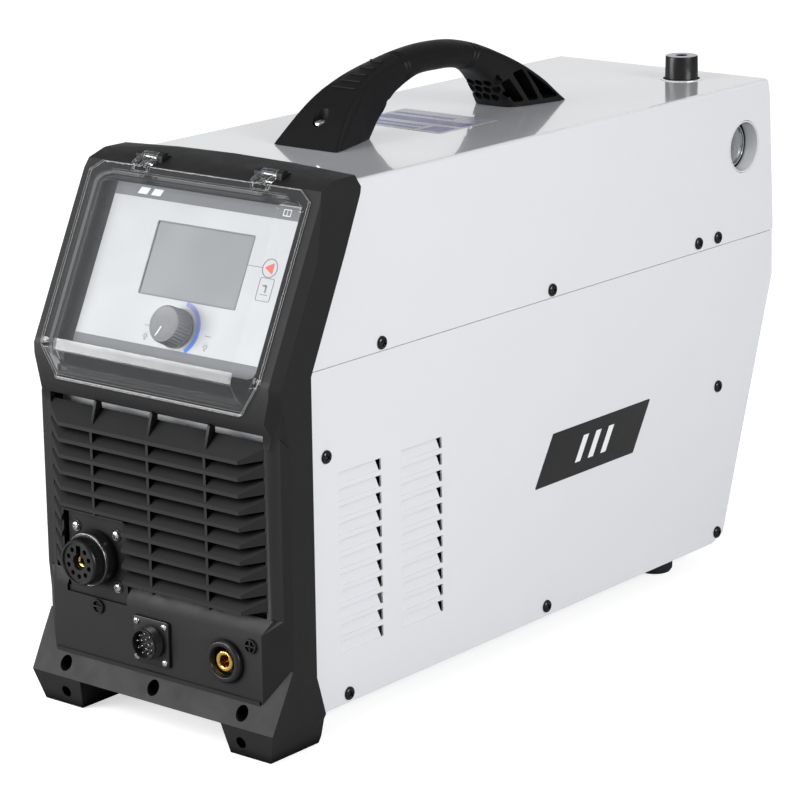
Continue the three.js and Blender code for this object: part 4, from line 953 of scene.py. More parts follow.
def bulb_icon(name, cx, cy):
    """A small lamp outline with rays."""
    dots = [ring_shape(circle(1.5, 20, 0, cx, cy), circle(1.1, 20, 0, cx, cy), 0, PRINT)]
    dots.append(slab(box_outline(cx - 0.7, cx + 0.7, cy - 2.9, cy - 1.9), 0, PRINT))
    for i in range(5):
        angle = math.radians(i * 45)
        ray = slab(box_outline(2.1, 3.0, -0.14, 0.14), 0, PRINT)
        dots.append(shifted(turned_about_z(ray, angle), cx, cy))
    return film_piece(name, merged(*dots), MAT["line_print"])


def panel_prints():
    printed("panel_band_top", box_outline(-FILM_HALF, FILM_HALF, 118, 127.6), MAT["dark_print"])
    printed("panel_band_bottom", box_outline(-FILM_HALF, FILM_HALF, 2.2, 13), MAT["dark_print"])
    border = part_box("control_panel")[1].x / MM - 0.6
    for name, side in (("left", -1), ("right", 1)):
        low, high = sorted((side * FILM_HALF, side * border))
        printed(f"panel_border_{name}", box_outline(low, high, -1.0, 129.0), MAT["ink"])
    chevrons = [slab([(x, 120.6), (x + 9, 120.6), (x + 11.4, 125.6), (x + 2.4, 125.6)], 0, PRINT)
                for x in (-66, -53)]
    film_piece("panel_header_mark", merged(*chevrons), MAT["white_print"], PRINT)
    manual = [ring_shape(rounded_box(3.6, 2.6, 0.5), rounded_box(2.9, 1.9, 0.3), 0, PRINT),
              slab(box_outline(-0.25, 0.25, -2.2, 2.2), 0, PRINT)]
    film_piece("panel_manual_icon", shifted(merged(*manual), 76.5, 123.0), MAT["white_print"], PRINT)
    outer, inner = frame_outline(46.6, 27.5, 1.2, 0.9, 7.4, 76.2)
    piece("display_border", ring_shape(outer, inner, PANEL_H + 0.02, PANEL_H + PRINT + 0.1), FACE,
          MAT["line_print"], "case")
    band = [(x + KNOB_ON_FACE[0], y + KNOB_ON_FACE[1]) for x, y in arc_band(19.0, 3.4, -52, 84)]
    printed("level_arc", anticlockwise(band), arc_print())
    alarm = (74.6, 82.5)
    piece("alarm_ring", ring_shape(circle(7.0, 48, 0, *alarm), circle(6.3, 48, 0, *alarm), PANEL_H + 0.02,
                                   PANEL_H + PRINT), FACE, MAT["line_print"], "case")
    triangle = fillet([(69.9, 82.5), (77.8, 78.2), (77.8, 86.8)], 0.8, closed=True)
    printed("alarm_triangle", triangle, MAT["red_print"])
    printed("alarm_line", box_outline(54.0, 67.6, 81.9, 82.4), MAT["line_print"])
    torch_box = frame_outline(6.6, 8.5, 1.6, 0.5, 75.2, 67.0)
    torch_frame = ring_shape(*torch_box, PANEL_H + 0.02, PANEL_H + PRINT)
    piece("torch_icon_frame", torch_frame, FACE, MAT["line_print"], "case")
    torch = [slab(box_outline(*sides), 0, PRINT)
             for sides in ((-2.6, 0.8, 1.0, 2.4), (0.0, 1.2, -3.2, 2.0), (-3.4, 3.4, -5.0, -4.5))]
    film_piece("torch_icon", shifted(merged(*torch), 75.2, 68.0), MAT["line_print"])
    bulb_icon("lamp_icon_left", -21.0, 19.5)
    bulb_icon("lamp_icon_right", 36.5, 19.5)
    printed("lamp_bar_left", box_outline(-24.0, -18.4, 27.0, 27.5), MAT["line_print"])
    printed("lamp_bar_right", box_outline(33.6, 39.4, 27.0, 27.5), MAT["line_print"])


def control_knob():
    """Ribbed knob: a fluted skirt, a rounded shoulder and a slightly dished face with a raised pointer."""
    radius, front, floor = 14.5, 3.6, -11.2
    flutes = 32
    count = flutes * 6

    def fluted(scale, depth):
        outline = []
        for i in range(count):
            angle = 2 * math.pi * i / count
            groove = 0.5 + 0.5 * math.cos(flutes * angle)
            r = radius * scale - depth * (1 - groove) ** 2
            outline.append((r * math.cos(angle), r * math.sin(angle)))
        return outline

    stack = [(fluted(0.985, 0.0), floor), (fluted(1.0, 0.0), floor + 0.5), (fluted(1.0, 0.0), floor + 1.6),
             (fluted(0.975, 0.7), floor + 2.0), (fluted(0.955, 0.75), front - 2.4)]
    for i in range(6):
        angle = i / 5 * math.pi / 2
        stack.append((fluted(0.955 - 0.10 * (1 - math.cos(angle)), 0.75 * (1 - i / 5)),
                      front - 2.2 + 2.2 * math.sin(angle)))
    stack += [(fluted(scale, 0.0), front - sunk) for scale, sunk in ((0.80, 0.25), (0.74, 0.55), (0.4, 0.7))]
    shape = layers(stack)
    obj = blank("control_knob_cap", shape, KNOB, 40)
    carve(obj, tool(lathe([(0, floor - 1), (2.6, floor - 1), (2.6, -1.0), (0, -1.0)], 24), KNOB))
    hollow = [(5.2, floor - 1), (12.0, floor - 1), (12.0, front - 4), (5.2, front - 4)]
    carve(obj, tool(lathe(hollow, 48, closed=True), KNOB))
    sharpen(obj, 40)
    dress(obj, MAT["knob"], "knob", ["control_knob"])
    pointer = slab(rounded_box(0.55, 4.2, 0.5, 4, 0, 6.6), front - 0.8, front + 0.25, 0.2)
    turned = turned_about_z(pointer, math.radians(155))
    piece("control_knob_pointer", turned, KNOB, MAT["white_print"], "knob")


# ------------------------------------------------------------------ front connectors

TORCH_PLATE_Y = -80.2  # the torch socket's plate lies a little behind the connector panel


def torch_socket():
    here = on_front("torch_socket_body")
    base = lathe(fillet([(0, -1.6), (20.3, -1.6), (20.3, 8.2), (18.4, 9.4), (0, 9.4)],
                        [0, 0.4, 1.2, 0.8, 0], 4), 96)
    obj = blank("torch_socket_shell", base, here)
    flutes = 72
    knurl = []
    for i in range(flutes * 2):
        angle = math.pi * i / flutes
        r = 17.5 if i % 2 else 16.85
        knurl.append((r * math.cos(angle), r * math.sin(angle)))
    smooth_rim = circle(17.1, flutes * 2)
    barrel = layers([(smooth_rim, 8.0), (smooth_rim, 10.0), (knurl, 10.4), (knurl, 16.6), (smooth_rim, 17.0),
                     (circle(16.6, flutes * 2), 18.4), (circle(15.9, flutes * 2), 19.0)])
    carve(obj, tool(barrel, here), operation="UNION")
    face_recess = lathe([(0, 17.6), (14.7, 17.6), (15.1, 19.5), (0, 19.5)], 72)
    bore = lathe([(0, -3), (5.6, -3), (5.6, 17.0), (6.0, 17.7), (0, 17.7)], 48)
    keyway = slab(box_outline(-2.3, 2.3, 4.0, 12.6), 10.0, 20.0)
    holes = [shifted(lathe([(0, 9), (1.75, 9), (1.75, 17.2), (2.05, 17.9), (0, 17.9)], 20),
                     10.6 * math.cos(a), 10.6 * math.sin(a))
             for a in [math.pi / 2 + math.radians(36 * i) for i in range(1, 10)]]
    carve(obj, *[tool(shape, here) for shape in (face_recess, bore, keyway, *holes)])
    sharpen(obj, 35)
    dress(obj, MAT["socket"], "case", ["torch_socket_body"])
    # a thin grey metal ring along the top edge of the socket's black base, lighter than the moulding beside
    # it
    trim = torus(19.3, 0.28, 96, 8, 9.05)
    piece("torch_socket_rim", trim, here, MAT["edge"], "case")
    tube = fillet([(3.1, -12), (5.1, -12), (5.1, 12.6), (4.2, 13.6), (3.1, 12.8)], [0, 0, 0.5, 0.4, 0.3], 3)
    tube = lathe(tube + [(3.1, -12)], 48)
    slots = [slab(box_outline(-x, x, -y, y), 3.0, 15.0) for x, y in ((6, 0.45), (0.45, 6))]
    contact = blank("torch_contact_tube", tube, here)
    carve(contact, *[tool(turned_about_z(shape, math.radians(25)), here) for shape in slots])
    sharpen(contact, 35)
    dress(contact, MAT["brass"], "case", ["torch_socket_contact"])
    places = [place(design(x, TORCH_PLATE_Y, z), X, -Y) for z in (99.8, 139.5) for x in (-77.8, -37.5)]
    screws("torch_plate_screw", SMALL_SCREW, places, MAT["steel"])
    for number, where in enumerate(places, 1):
        wall = fillet([(3.5, 0.0), (4.9, 0.0), (4.6, 0.8), (3.5, 0.5)], [0, 0, 0.2, 0.2], 3)
        cup = lathe(wall + [(3.5, 0.0)], 40)
        piece(f"torch_plate_screw_cup_{number}", cup, where, MAT["socket"], "case")


def thread_profile(radius, depth, low, high, pitch):
    points = []
    turns = int((high - low) / pitch)
    for i in range(turns):
        z = low + i * pitch
        points += [(radius - depth, z), (radius, z + pitch * 0.5)]
    return points + [(radius - depth, low + turns * pitch)]


def control_socket():
    here = on_front("control_socket")
    flange = slab(rounded_box(17.4, 17.4, 2.6, 6), 0.1, 2.4, 0.5)
    obj = blank("control_socket_shell", flange, here)
    profile = [(0, 1.5), (11.9, 1.5)] + thread_profile(12.3, 0.7, 2.6, 9.6, 1.3)
    profile += [(11.6, 10.5), (11.2, 10.9), (0, 10.9)]
    carve(obj, tool(lathe(profile, 72), here), operation="UNION")
    cup = lathe([(0, 5.4), (10.2, 5.4), (10.4, 11.5), (0, 11.5)], 64)
    carve(obj, tool(cup, here))
    key = slab(box_outline(-1.1, 1.1, 9.0, 10.9), 5.0, 10.2)
    carve(obj, tool(key, here), operation="UNION")
    sharpen(obj, 35)
    dress(obj, MAT["socket"], "case", ["control_socket"])
    pins = []
    for radius, count, start in ((7.4, 9, 0.2), (3.6, 5, 0.0)):
        for i in range(count):
            angle = start + 2 * math.pi * i / count
            pin = lathe([(0, 5.2), (0.75, 5.2), (0.75, 8.4), (0.45, 8.9), (0, 9.0)], 14)
            pins.append(shifted(pin, radius * math.cos(angle), radius * math.sin(angle)))
    piece("control_socket_pins", merged(*pins), here, MAT["steel"], "case")
    places = [here @ Matrix.Translation((x, y, 2.3)) @ Matrix.Scale(0.80, 4)
              for x in (-13.5, 13.5) for y in (-13.5, 13.5)]
    screws("control_socket_screw", SMALL_SCREW, places, MAT["steel"])


def work_socket():
    here = on_front("work_socket_housing")
    profile = fillet([(8.1, -18), (12.2, -18), (12.2, 0.1), (16, 0.1), (16, 3.2), (14.4, 4.9), (11.8, 4.9),
                      (11.0, 3.4)], [0, 0, 0, 0.3, 1.3, 1.3, 0.7, 0.3], 4)
    inside = [(11.0, 2.2), (10.7, 1.7), (11.0, 1.2), (10.7, 0.7), (11.0, 0.2), (10.8, -6), (8.1, -6),
              (8.1, -18)]
    piece("work_socket_collar", lathe(profile + inside, 96), here, MAT["socket"], "case",
          ["work_socket_housing"])
    insert = lathe(fillet([(4.5, -16), (7.7, -16), (7.7, 1.8), (7.0, 2.6), (5.2, 2.6), (4.5, 1.9)],
                          [0, 0, 0.5, 0.4, 0.4, 0.3], 3) + [(4.5, -16)], 64)
    obj = blank("work_socket_bush", insert, here)
    slot = slab(box_outline(-1.5, 1.5, 3.0, 6.2), -15, 3.2)
    carve(obj, tool(turned_about_z(slot, math.radians(-35)), here))
    sharpen(obj, 35)
    dress(obj, MAT["gold"], "case", ["work_socket_insert"])


def polarity_discs():
    """Moulded plus and minus marks beside the two output sockets: bars inside a raised ring."""
    for name, x, z in (("plus_disc", 92.3, 82.7), ("minus_disc", -56.0, 82.1)):
        here = place(design(x, -CONNECTOR_AHEAD, z), X, -Y)
        ring = fillet([(0, -0.2), (5.2, -0.2), (5.2, 2.0), (4.3, 2.0), (4.3, 0.3), (0, 0.3)],
                      [0, 0, 0.5, 0.3, 0.2, 0], 3)
        bar = slab(rounded_box(4.3, 0.65, 0.1, 2), 0.2, 2.0, 0.2)
        shapes = [lathe(ring, 48), bar]
        if name == "plus_disc":
            shapes.append(turned_about_z(bar, math.pi / 2))
        piece(name, merged(*shapes), here, MAT["bezel"], "case")


# ------------------------------------------------------------------ carrying handle

# Stations along the handle: outer ridge (y, z), inner face (y, z), how boxy the section is.
HANDLE_FOOT = 400.35
HANDLE_STATIONS = [
    ((92.5, HANDLE_FOOT), (154, HANDLE_FOOT), 1.0), ((103, 412), (158, 405), 1.0),
    ((118, 426), (163, 411), 1.0),
    ((134, 436.5), (170, 417), 1.0), ((156, 447), (178, 423.5), 0.75), ((185, 456), (190, 429.5), 0.3),
    ((215, 460.3), (216, 437.7), 0.0), ((244, 461), (244, 438.6), 0.0), ((271, 458.5), (266, 437.3), 0.0),
    ((301, 450.5), (284, 432.5), 0.4), ((331, 435.5), (297, 425), 0.8), ((355, 419), (307, 415.5), 1.0),
    ((371, 404.5), (315, 404.5), 1.0), ((376, HANDLE_FOOT), (318, HANDLE_FOOT), 1.0),
]
# Half width against height, and against distance from front to back; the narrower one holds.
WIDTH_BY_HEIGHT = [(396, 33.5), (401, 31), (412, 27), (426, 22.5), (436.5, 19), (447, 15.5), (455, 14.3),
                   (462, 14)]
WIDTH_BY_DEPTH = [(91.5, 32), (146, 17), (175, 15), (290, 15), (318, 20), (377, 33.5)]
HANDLE_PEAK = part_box("carry_handle")[1].z / MM - 0.02
GRIP_GROOVES = (5.28, 5.42, 8.38, 8.56)  # station numbers where the ring grooves run


def handle_section(boxy):
    """Closed (across, outward) section of unit size; boxy 0 is an oval, 1 has a flat outer facet."""
    corners = [(0.93, 1.0), (0.985, 0.92), (1.0, 0.5), (1.0, 0.0), (0.98, -0.5), (0.86, -0.88), (0.5, -1.0),
               (0.0, -1.0)]
    flat = [(0.93 * i / 8, 1.0) for i in range(8)]
    curve = smooth_path([(x, y, 0) for x, y in corners], 3)
    right = flat + [(p.x, p.y) for p in curve]
    steps = len(right) - 1
    oval = [(math.sin(math.pi * i / steps), math.cos(math.pi * i / steps)) for i in range(steps + 1)]
    mixed = [(a[0] * boxy + b[0] * (1 - boxy), a[1] * boxy + b[1] * (1 - boxy)) for a, b in zip(right, oval)]
    return mixed + [(-x, y) for x, y in mixed[-2:0:-1]]


def handle_row(position):
    """Outer point, inner point and boxiness at any station number."""
    index = min(int(position), len(HANDLE_STATIONS) - 2)
    t = position - index
    spots = [HANDLE_STATIONS[max(0, min(len(HANDLE_STATIONS) - 1, index + k))] for k in (-1, 0, 1, 2)]

    def curve(a, b, c, d):
        return 0.5 * (2 * b + (c - a) * t + (2 * a - 5 * b + 4 * c - d) * t ** 2
                      + (3 * b - a - 3 * c + d) * t ** 3)

    outer = Vector([curve(*[s[0][k] for s in spots]) for k in (0, 1)])
    inner = Vector([curve(*[s[1][k] for s in spots]) for k in (0, 1)])
    return outer, inner, max(0.0, min(1.0, curve(*[s[2] for s in spots])))


def between(table, value):
    """Value of a (position, value) table, straight between its entries and flat beyond its ends."""
    if value <= table[0][0]:
        return table[0][1]
    for (a, low), (b, high) in zip(table, table[1:]):
        if value <= b:
            return low + (high - low) * (value - a) / (b - a)
    return table[-1][1]


def handle_half_width(y, z):
    """Half width at a point of the side view, averaged over a few millimetres so that it has no corners."""
    spread = (-6, -3, 0, 3, 6)
    by_height = sum(between(WIDTH_BY_HEIGHT, z + d) for d in spread) / len(spread)
    by_depth = sum(between(WIDTH_BY_DEPTH, y + d) for d in spread) / len(spread)
    return min(by_height, by_depth)


def handle_body():
    rows, last = [], len(HANDLE_STATIONS) - 1
    positions = [i * last / 150 for i in range(151)]
    for groove in GRIP_GROOVES:
        positions += [groove - 0.045, groove - 0.02, groove, groove + 0.02, groove + 0.045]
    for position in sorted(set(positions)):
        outer, inner, boxy = handle_row(position)
        depth = max((0.6 * max(0.0, 1 - abs(position - g) / 0.04) for g in GRIP_GROOVES), default=0)
        centre, reach = (outer + inner) / 2, (outer - inner) / 2
        shrink = 1 - depth / reach.length
        row = []
        for u, v in handle_section(boxy):
            spot = centre + reach * (v * shrink)
            half = handle_half_width(spot.x, spot.y)
            row.append((u * (half - depth), spot.x, max(HANDLE_FOOT, min(HANDLE_PEAK, spot.y))))
        rows.append(row)
    count = len(rows[0])
    points = [p for row in rows for p in row]
    faces = []
    for low in range(0, (len(rows) - 1) * count, count):
        for i in range(count):
            j = (i + 1) % count
            faces.append((low + i, low + j, low + count + j, low + count + i))
    faces.append(tuple(range(count - 1, -1, -1)))
    faces.append(tuple(range((len(rows) - 1) * count, len(rows) * count)))
    return points, faces


def rear_pockets():
    """Slanted openings through the two sides of the rear leg: outline, and from where to where across."""
    cells = []
    slots = [((322, 404), (332, 404), (316, 424), (308, 421)),
             ((336, 404), (346, 404), (330, 430), (319, 428)),
             ((350, 404), (368, 404), (356, 414), (333, 431))]
    for outline in slots:
        rounded = fillet(outline, 1.6, 3, closed=True)
        for low, high in ((3.0, 40.0), (-40.0, -3.0)):
            cells.append((rounded, low, high))
    return cells


def screw_seat(name):
    """Frame at the bottom of a handle screw's well, over the middle of its head's lower face."""
    centre = middle(f"handle_screw_{name}")
    head_height = 6.4  # the head and its washer face, from the well's floor to its top
    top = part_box(f"handle_screw_{name}")[1].z
    return place(Vector((centre.x, centre.y, top - head_height * MM)), X, Z)


def carry_handle():
    obj = blank("carry_handle_body", handle_body(), WORLD, 30)
    side_view = place(design(0, 0, 0), Y, X)
    for outline, low, high in rear_pockets():
        carve(obj, tool(slab(anticlockwise(outline), low, high), side_view))
    inner_low, inner_high = Vector((0, 316.5, 403)), Vector((0, 291, 430))
    along_face = (inner_high - inner_low).normalized()
    outward = Vector((0, -along_face.z, along_face.y))
    cell = circle(4.1, 6, math.pi / 6)
    for row in range(3):
        for column in range(-3, 4):
            x = (column + (row % 2) * 0.5) * 8.2
            if abs(x) > 18:
                continue
            spot = inner_low + along_face * (6.5 + row * 8.0)
            hole = slab(cell, -9.0, 12.0)
            where = place(design(x, spot.y, spot.z), X, outward)
            carve(obj, tool(hole, where))
    for row in range(2):  # cells under the front leg's inner edge
        for column in range(-2, 3):
            x = (column + (row % 2) * 0.5) * 8.2
            spot = Vector((x, 168 + row * 10, 415 + row * 7))
            where = place(design(*spot), X, Vector((0, 0.62, -0.78)).normalized())
            carve(obj, tool(slab(cell, -6.0, 12.0), where))
    for name in ("front", "rear"):
        well = lathe([(0, 0), (6.3, 0), (6.3, 60), (0, 60)], 40)
        carve(obj, tool(well, screw_seat(name)))
    sharpen(obj, 30)
    dress(obj, MAT["handle"], "case", ["carry_handle"])
    for name in ("front", "rear"):
        mesh = CASE_SCREW.copy()
        mesh.transform(screw_seat(name) @ Matrix.Translation((0, 0, 3.6)) @ Matrix.Scale(1.05, 4))
        dress(new_object(f"handle_screw_head_{name}", mesh), MAT["steel"], "case",
              [f"handle_screw_{name}"])
    ribs = []
    for i in range(5):
        position = 3.25 + i * 0.37
        outer = handle_row(position)[0]
        half = handle_half_width(outer.x, outer.y)
        ahead = handle_row(position + 0.05)[0]
        run = (ahead - outer).normalized()
        out = Vector((-run.y, run.x))
        matrix = place(design(0, outer.x, outer.y), X, Vector((0, out.x, out.y)))
        rib = slab(rounded_box(half * (0.64 - 0.055 * i), 1.15, 1.1, 5), -1.0, 0.95, 0.7)
        ribs.append(moved(rib, WORLD.inverted() @ matrix))
    piece("carry_handle_ribs", merged(*ribs), WORLD, MAT["handle"], "case")


# ------------------------------------------------------------------ regulator knob and gauge

def regulator_knob():
    centre = middle("regulator_knob")
    here = place(Vector((centre.x, centre.y, TOP)), X, Z)
    profile = fillet([(0, 0.5), (13.6, 0.5), (13.2, 19.5), (0, 19.5)], [0, 0.5, 0.45, 0], 4)
    obj = blank("regulator_knob_cap", lathe(profile, 96), here, 30)
    carve(obj, tool(lathe([(0, -1), (9.0, -1), (9.0, 12), (0, 12)], 40), here))
    sharpen(obj, 40)
    dress(obj, MAT["socket"], "pressure_knob", ["regulator_knob"])
    disc = lathe(fillet([(0, 19.4), (12.8, 19.4), (12.8, 19.62), (5.4, 19.62), (5.0, 19.5), (0, 19.5)],
                        [0, 0.05, 0.05, 0.05, 0.05, 0], 2), 64)
    piece("regulator_knob_disc", disc, here, MAT["label"], "pressure_knob")
    ring = [(15.2, 0.05), (17.6, 0.05), (17.6, 0.5), (15.2, 0.7)]
    ring = fillet(ring, [0.1, 0.1, 0.3, 0.2], 3, closed=True)
    trim = lathe(ring, 72, True)
    piece("regulator_trim_ring", trim, here, MAT["paint"], "case", ["knob_trim_ring"])


CARD = 10.0  # height of the gauge's card over its back
GAUGE_SWEEP = 270
GAUGE_START = 225  # degrees, zero mark at the lower left


def gauge():
    """Pressure gauge behind the round window: can, card, scale, numbers, green band, lens, sleeve, needle."""
    joint = JOINTS["gauge_needle_swing"]
    centre = middle("gauge_body")
    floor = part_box("gauge_body")[0].x
    here = place(Vector((floor, centre.y, centre.z)), Y, X)  # x back, y up, z out of the right side
    can = [(0, 0), (18, 0), (18, 21), (16.6, 21), (16.6, CARD), (0, CARD)]
    can = fillet(can, [0, 1.5, 0.6, 0.4, 0.5, 0], 3)
    piece("gauge_can", lathe(can, 72), here, MAT["steel"], "case", ["gauge_body"])
    card = [(1.2, CARD + 0.05), (16.4, CARD + 0.05), (16.4, CARD + 0.3), (1.2, CARD + 0.3)]
    piece("gauge_card", lathe(card, 64, True), here, MAT["dial"], "case")
    marks = []
    for i in range(41):
        angle = math.radians(GAUGE_START - GAUGE_SWEEP * i / 40)
        long = i % 8 == 0
        tick = box_outline(12.4 if long else 13.6, 15.2, -0.22 if long else -0.12, 0.22 if long else 0.12)
        marks.append(turned_about_z(slab(tick, CARD + 0.3, CARD + 0.42), angle))
    piece("gauge_scale", merged(*marks), here, MAT["ink"], "case")
    for i in range(6):
        angle = math.radians(GAUGE_START - GAUGE_SWEEP * i / 5)
        number = bpy.data.curves.new(f"gauge_number_{i}", "FONT")
        number.body = str(2 * i)
        number.size = 3.4 * MM
        number.extrude = 0.05 * MM
        number.align_x = "CENTER"
        number.align_y = "CENTER"
        text = new_object(f"gauge_number_{i}", number)
        spot = Matrix.Translation((9.9 * math.cos(angle), 9.9 * math.sin(angle), CARD + 0.4))
        text.matrix_world = here @ spot @ Matrix.Scale(1 / MM, 4)
        bpy.context.view_layer.update()
        mesh = bpy.data.meshes.new_from_object(text)
        mesh.transform(text.matrix_world)
        bpy.data.objects.remove(text)
        dress(new_object(f"gauge_number_{i}", mesh), MAT["ink"], "case")
    band = arc_band(11.9, 0.7, GAUGE_START - GAUGE_SWEEP * 0.8, GAUGE_START - GAUGE_SWEEP * 0.3)
    piece("gauge_green_band", slab(anticlockwise(band), CARD + 0.3, CARD + 0.4), here,
          MAT["green_print"], "case")
    lens = lathe(fillet([(0, 19.2), (16.3, 19.2), (16.3, 20.2), (0, 20.9)], [0, 0.1, 0.3, 0], 3), 64)
    piece("gauge_glass", lens, here, MAT["lens"], "case", ["gauge_lens"])
    wall = (PANEL_HIGH.x - floor) / MM
    sleeve = fillet([(20.0, wall - 12), (21.3, wall - 12), (21.3, wall + 0.15), (20.0, wall + 0.15)],
                    [0.1, 0.1, 0.4, 0.5], 3, closed=True)
    piece("gauge_sleeve", lathe(sleeve, 96, True), here, MAT["paint"], "case",
          ["gauge_window_sleeve"])
    blade = slab([(-0.9, -5), (0.9, -5), (0.30, 13), (-0.30, 13)], CARD + 1.7, CARD + 2.3, 0.1)
    hub = lathe(fillet([(0.0, CARD + 1.5), (2.6, CARD + 1.5), (2.6, CARD + 2.5), (0.0, CARD + 3.1)],
                       [0, 0.1, 0.4, 0], 3), 32)
    zero = turned_about_z(blade, math.radians(GAUGE_START - 90))
    piece("gauge_pointer", merged(zero, hub), here, MAT["ink"], joint["child"],
          ["gauge_needle"])


# ------------------------------------------------------------------ rear

def fan():
    blade_count, hub_radius, tip = 7, 20.5, 52.5
    low, high = -34.8, -8.0
    hub = fillet([(0, low + 2), (hub_radius, low + 2), (hub_radius, high - 2), (0, high)], [0, 1, 3, 0], 4)
    blades = [lathe(hub, 64)]
    for b in range(blade_count):
        points, faces = [], []
        across_count, chord_count = 10, 9
        for i in range(across_count):
            r = hub_radius - 1 + (tip - hub_radius + 1) * i / (across_count - 1)
            for k in range(chord_count):
                along = k / (chord_count - 1) - 0.5
                chord = 26 + 9 * (i / (across_count - 1))
                pitch = math.radians(50 - 14 * i / (across_count - 1))
                camber = 2.4 * (1 - (2 * along) ** 2)
                sweep_angle = 0.16 * (i / (across_count - 1)) ** 2
                tangent = chord * along * math.cos(pitch) + camber * math.sin(pitch)
                height = chord * along * math.sin(pitch) * 0.92 - camber * math.cos(pitch)
                angle = tangent / r + sweep_angle + b * 2 * math.pi / blade_count
                points.append((r * math.cos(angle), r * math.sin(angle), (low + high) / 2 + height))
        for i in range(across_count - 1):
            for k in range(chord_count - 1):
                a = i * chord_count + k
                faces.append((a, a + 1, a + chord_count + 1, a + chord_count))
        blades.append(thick_sheet(points, faces, 1.5))
    piece("fan_rotor_blades", merged(*blades), FAN, MAT["black"], FAN_JOINT["child"],
          ["fan_rotor"])
    wires = [torus(r, 1.1, 96, 10, 2.7) for r in (20, 32, 44, 56)]
    for i in range(2):
        spoke = [(-68, 0, 1.6), (-64, 0, 1.6), (-60, 0, 1.6), (60, 0, 1.6), (64, 0, 1.6), (68, 0, 1.6)]
        wire = sweep(spoke, circle(1.1, 10))
        wires.append(turned_about_z(wire, math.pi / 4 + i * math.pi / 2))
        for end in (-1, 1):
            eye = shifted(torus(3.4, 1.1, 28, 8, 1.6), end * 70.0)
            wires.append(turned_about_z(eye, math.pi / 4 + i * math.pi / 2))
    piece("fan_guard_wires", merged(*wires), FAN, MAT["steel"], "case", ["fan_guard"])
    seat = Matrix.Translation((70.0, 0, 1.9)) @ Matrix.Scale(0.75, 4)
    places = [FAN @ Matrix.Rotation(math.pi / 4 + i * math.pi / 2, 4, "Z") @ seat for i in range(4)]
    screws("fan_screw", CASE_SCREW, places, MAT["steel"])


def thick_sheet(points, faces, thickness):
    """Gives an open grid a thickness along its own normals."""
    mesh = bpy.data.meshes.new("sheet")
    mesh.from_pydata(points, [], faces)
    obj = new_object("sheet", mesh)
    thicken = obj.modifiers.new("thickness", "SOLIDIFY")
    thicken.thickness = thickness
    thicken.offset = 0
    settle(obj)
    result = ([tuple(v.co) for v in obj.data.vertices], [tuple(p.vertices) for p in obj.data.polygons])
    bpy.data.objects.remove(obj)
    return result


def mains_switch():
    low = -3.0
    plate = slab(rounded_box(30, 30, 4, 6), low + 0.2, low + 2.2, 0.6)
    obj = blank("mains_switch_cover", plate, SWITCH)
    carve(obj, tool(lathe([(0, -9), (9.2, -9), (9.2, 5), (0, 5)], 48), SWITCH))
    dress(obj, MAT["aluminium"], "case", ["mains_switch_plate"])
    marks = [turned_about_z(slab(box_outline(22.5, 26.5, -0.5, 0.5), low + 2.22, low + 2.4), math.radians(a))
             for a in (90, 0)]
    dot = lathe([(0, low + 2.22), (1.3, low + 2.22), (1.3, low + 2.4), (0, low + 2.4)], 24)
    dot = shifted(dot, -14.5, 25)
    piece("mains_switch_marks", merged(*marks, dot), SWITCH, MAT["ink"], "case")


def rear_details():
    """Cable gland and mains cable on the upright rear leaf."""
    gland_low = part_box("cable_gland")[0]
    gland = middle("cable_gland")
    face_y = gland_low.y + 12 * MM
    here = place(Vector((gland.x, face_y, gland.z)), -X, Y)
    hexagon = fillet(circle(17, 6), 1.2, 3, closed=True)
    nut_ribs = []
    for i in range(48):
        radius = 14.4 - 0.9 * (i % 2)
        angle = math.pi * i / 24
        nut_ribs.append((radius * math.cos(angle), radius * math.sin(angle)))
    shell = merged(slab(hexagon, 0.6, 8.4, 0.8, 0.4),
                   layers([(nut_ribs, 8.2), (nut_ribs, 17.5), (circle(13.0, 48), 19.5),
                           (circle(10.4, 48), 23), (circle(7.7, 48), 23)]),
                   lathe([(0, -12), (12, -12), (12, 0.7), (0, 0.7)], 48))
    piece("cable_gland_nut", shell, here, MAT["black"], "case", ["cable_gland"])
    path = [(0, 0, -38), (0, 0, -15), (0, 0, 10), (0, 0, 26), (0, -7, 42), (0, -28, 51), (0, -58, 52)]
    cable = sweep(smooth_path(path), circle(6.85, 28), X)
    piece("mains_cable_sheath", cable, here, MAT["cable"], "case", ["power_cable"])
    core = lathe([(0, 0), (1.9, 0), (1.9, 2.4), (0, 2.4)], 20)
    cores = [shifted(core, 3.0 * math.cos(a), 3.0 * math.sin(a)) for a in (0.5, 2.6, 4.7)]
    end = here @ place(Vector((0, -57.6, 52)), X, -Y) @ Matrix.Scale(1 / MM, 4)
    piece("mains_cable_cores", merged(*cores), end, MAT["copper"], "case")


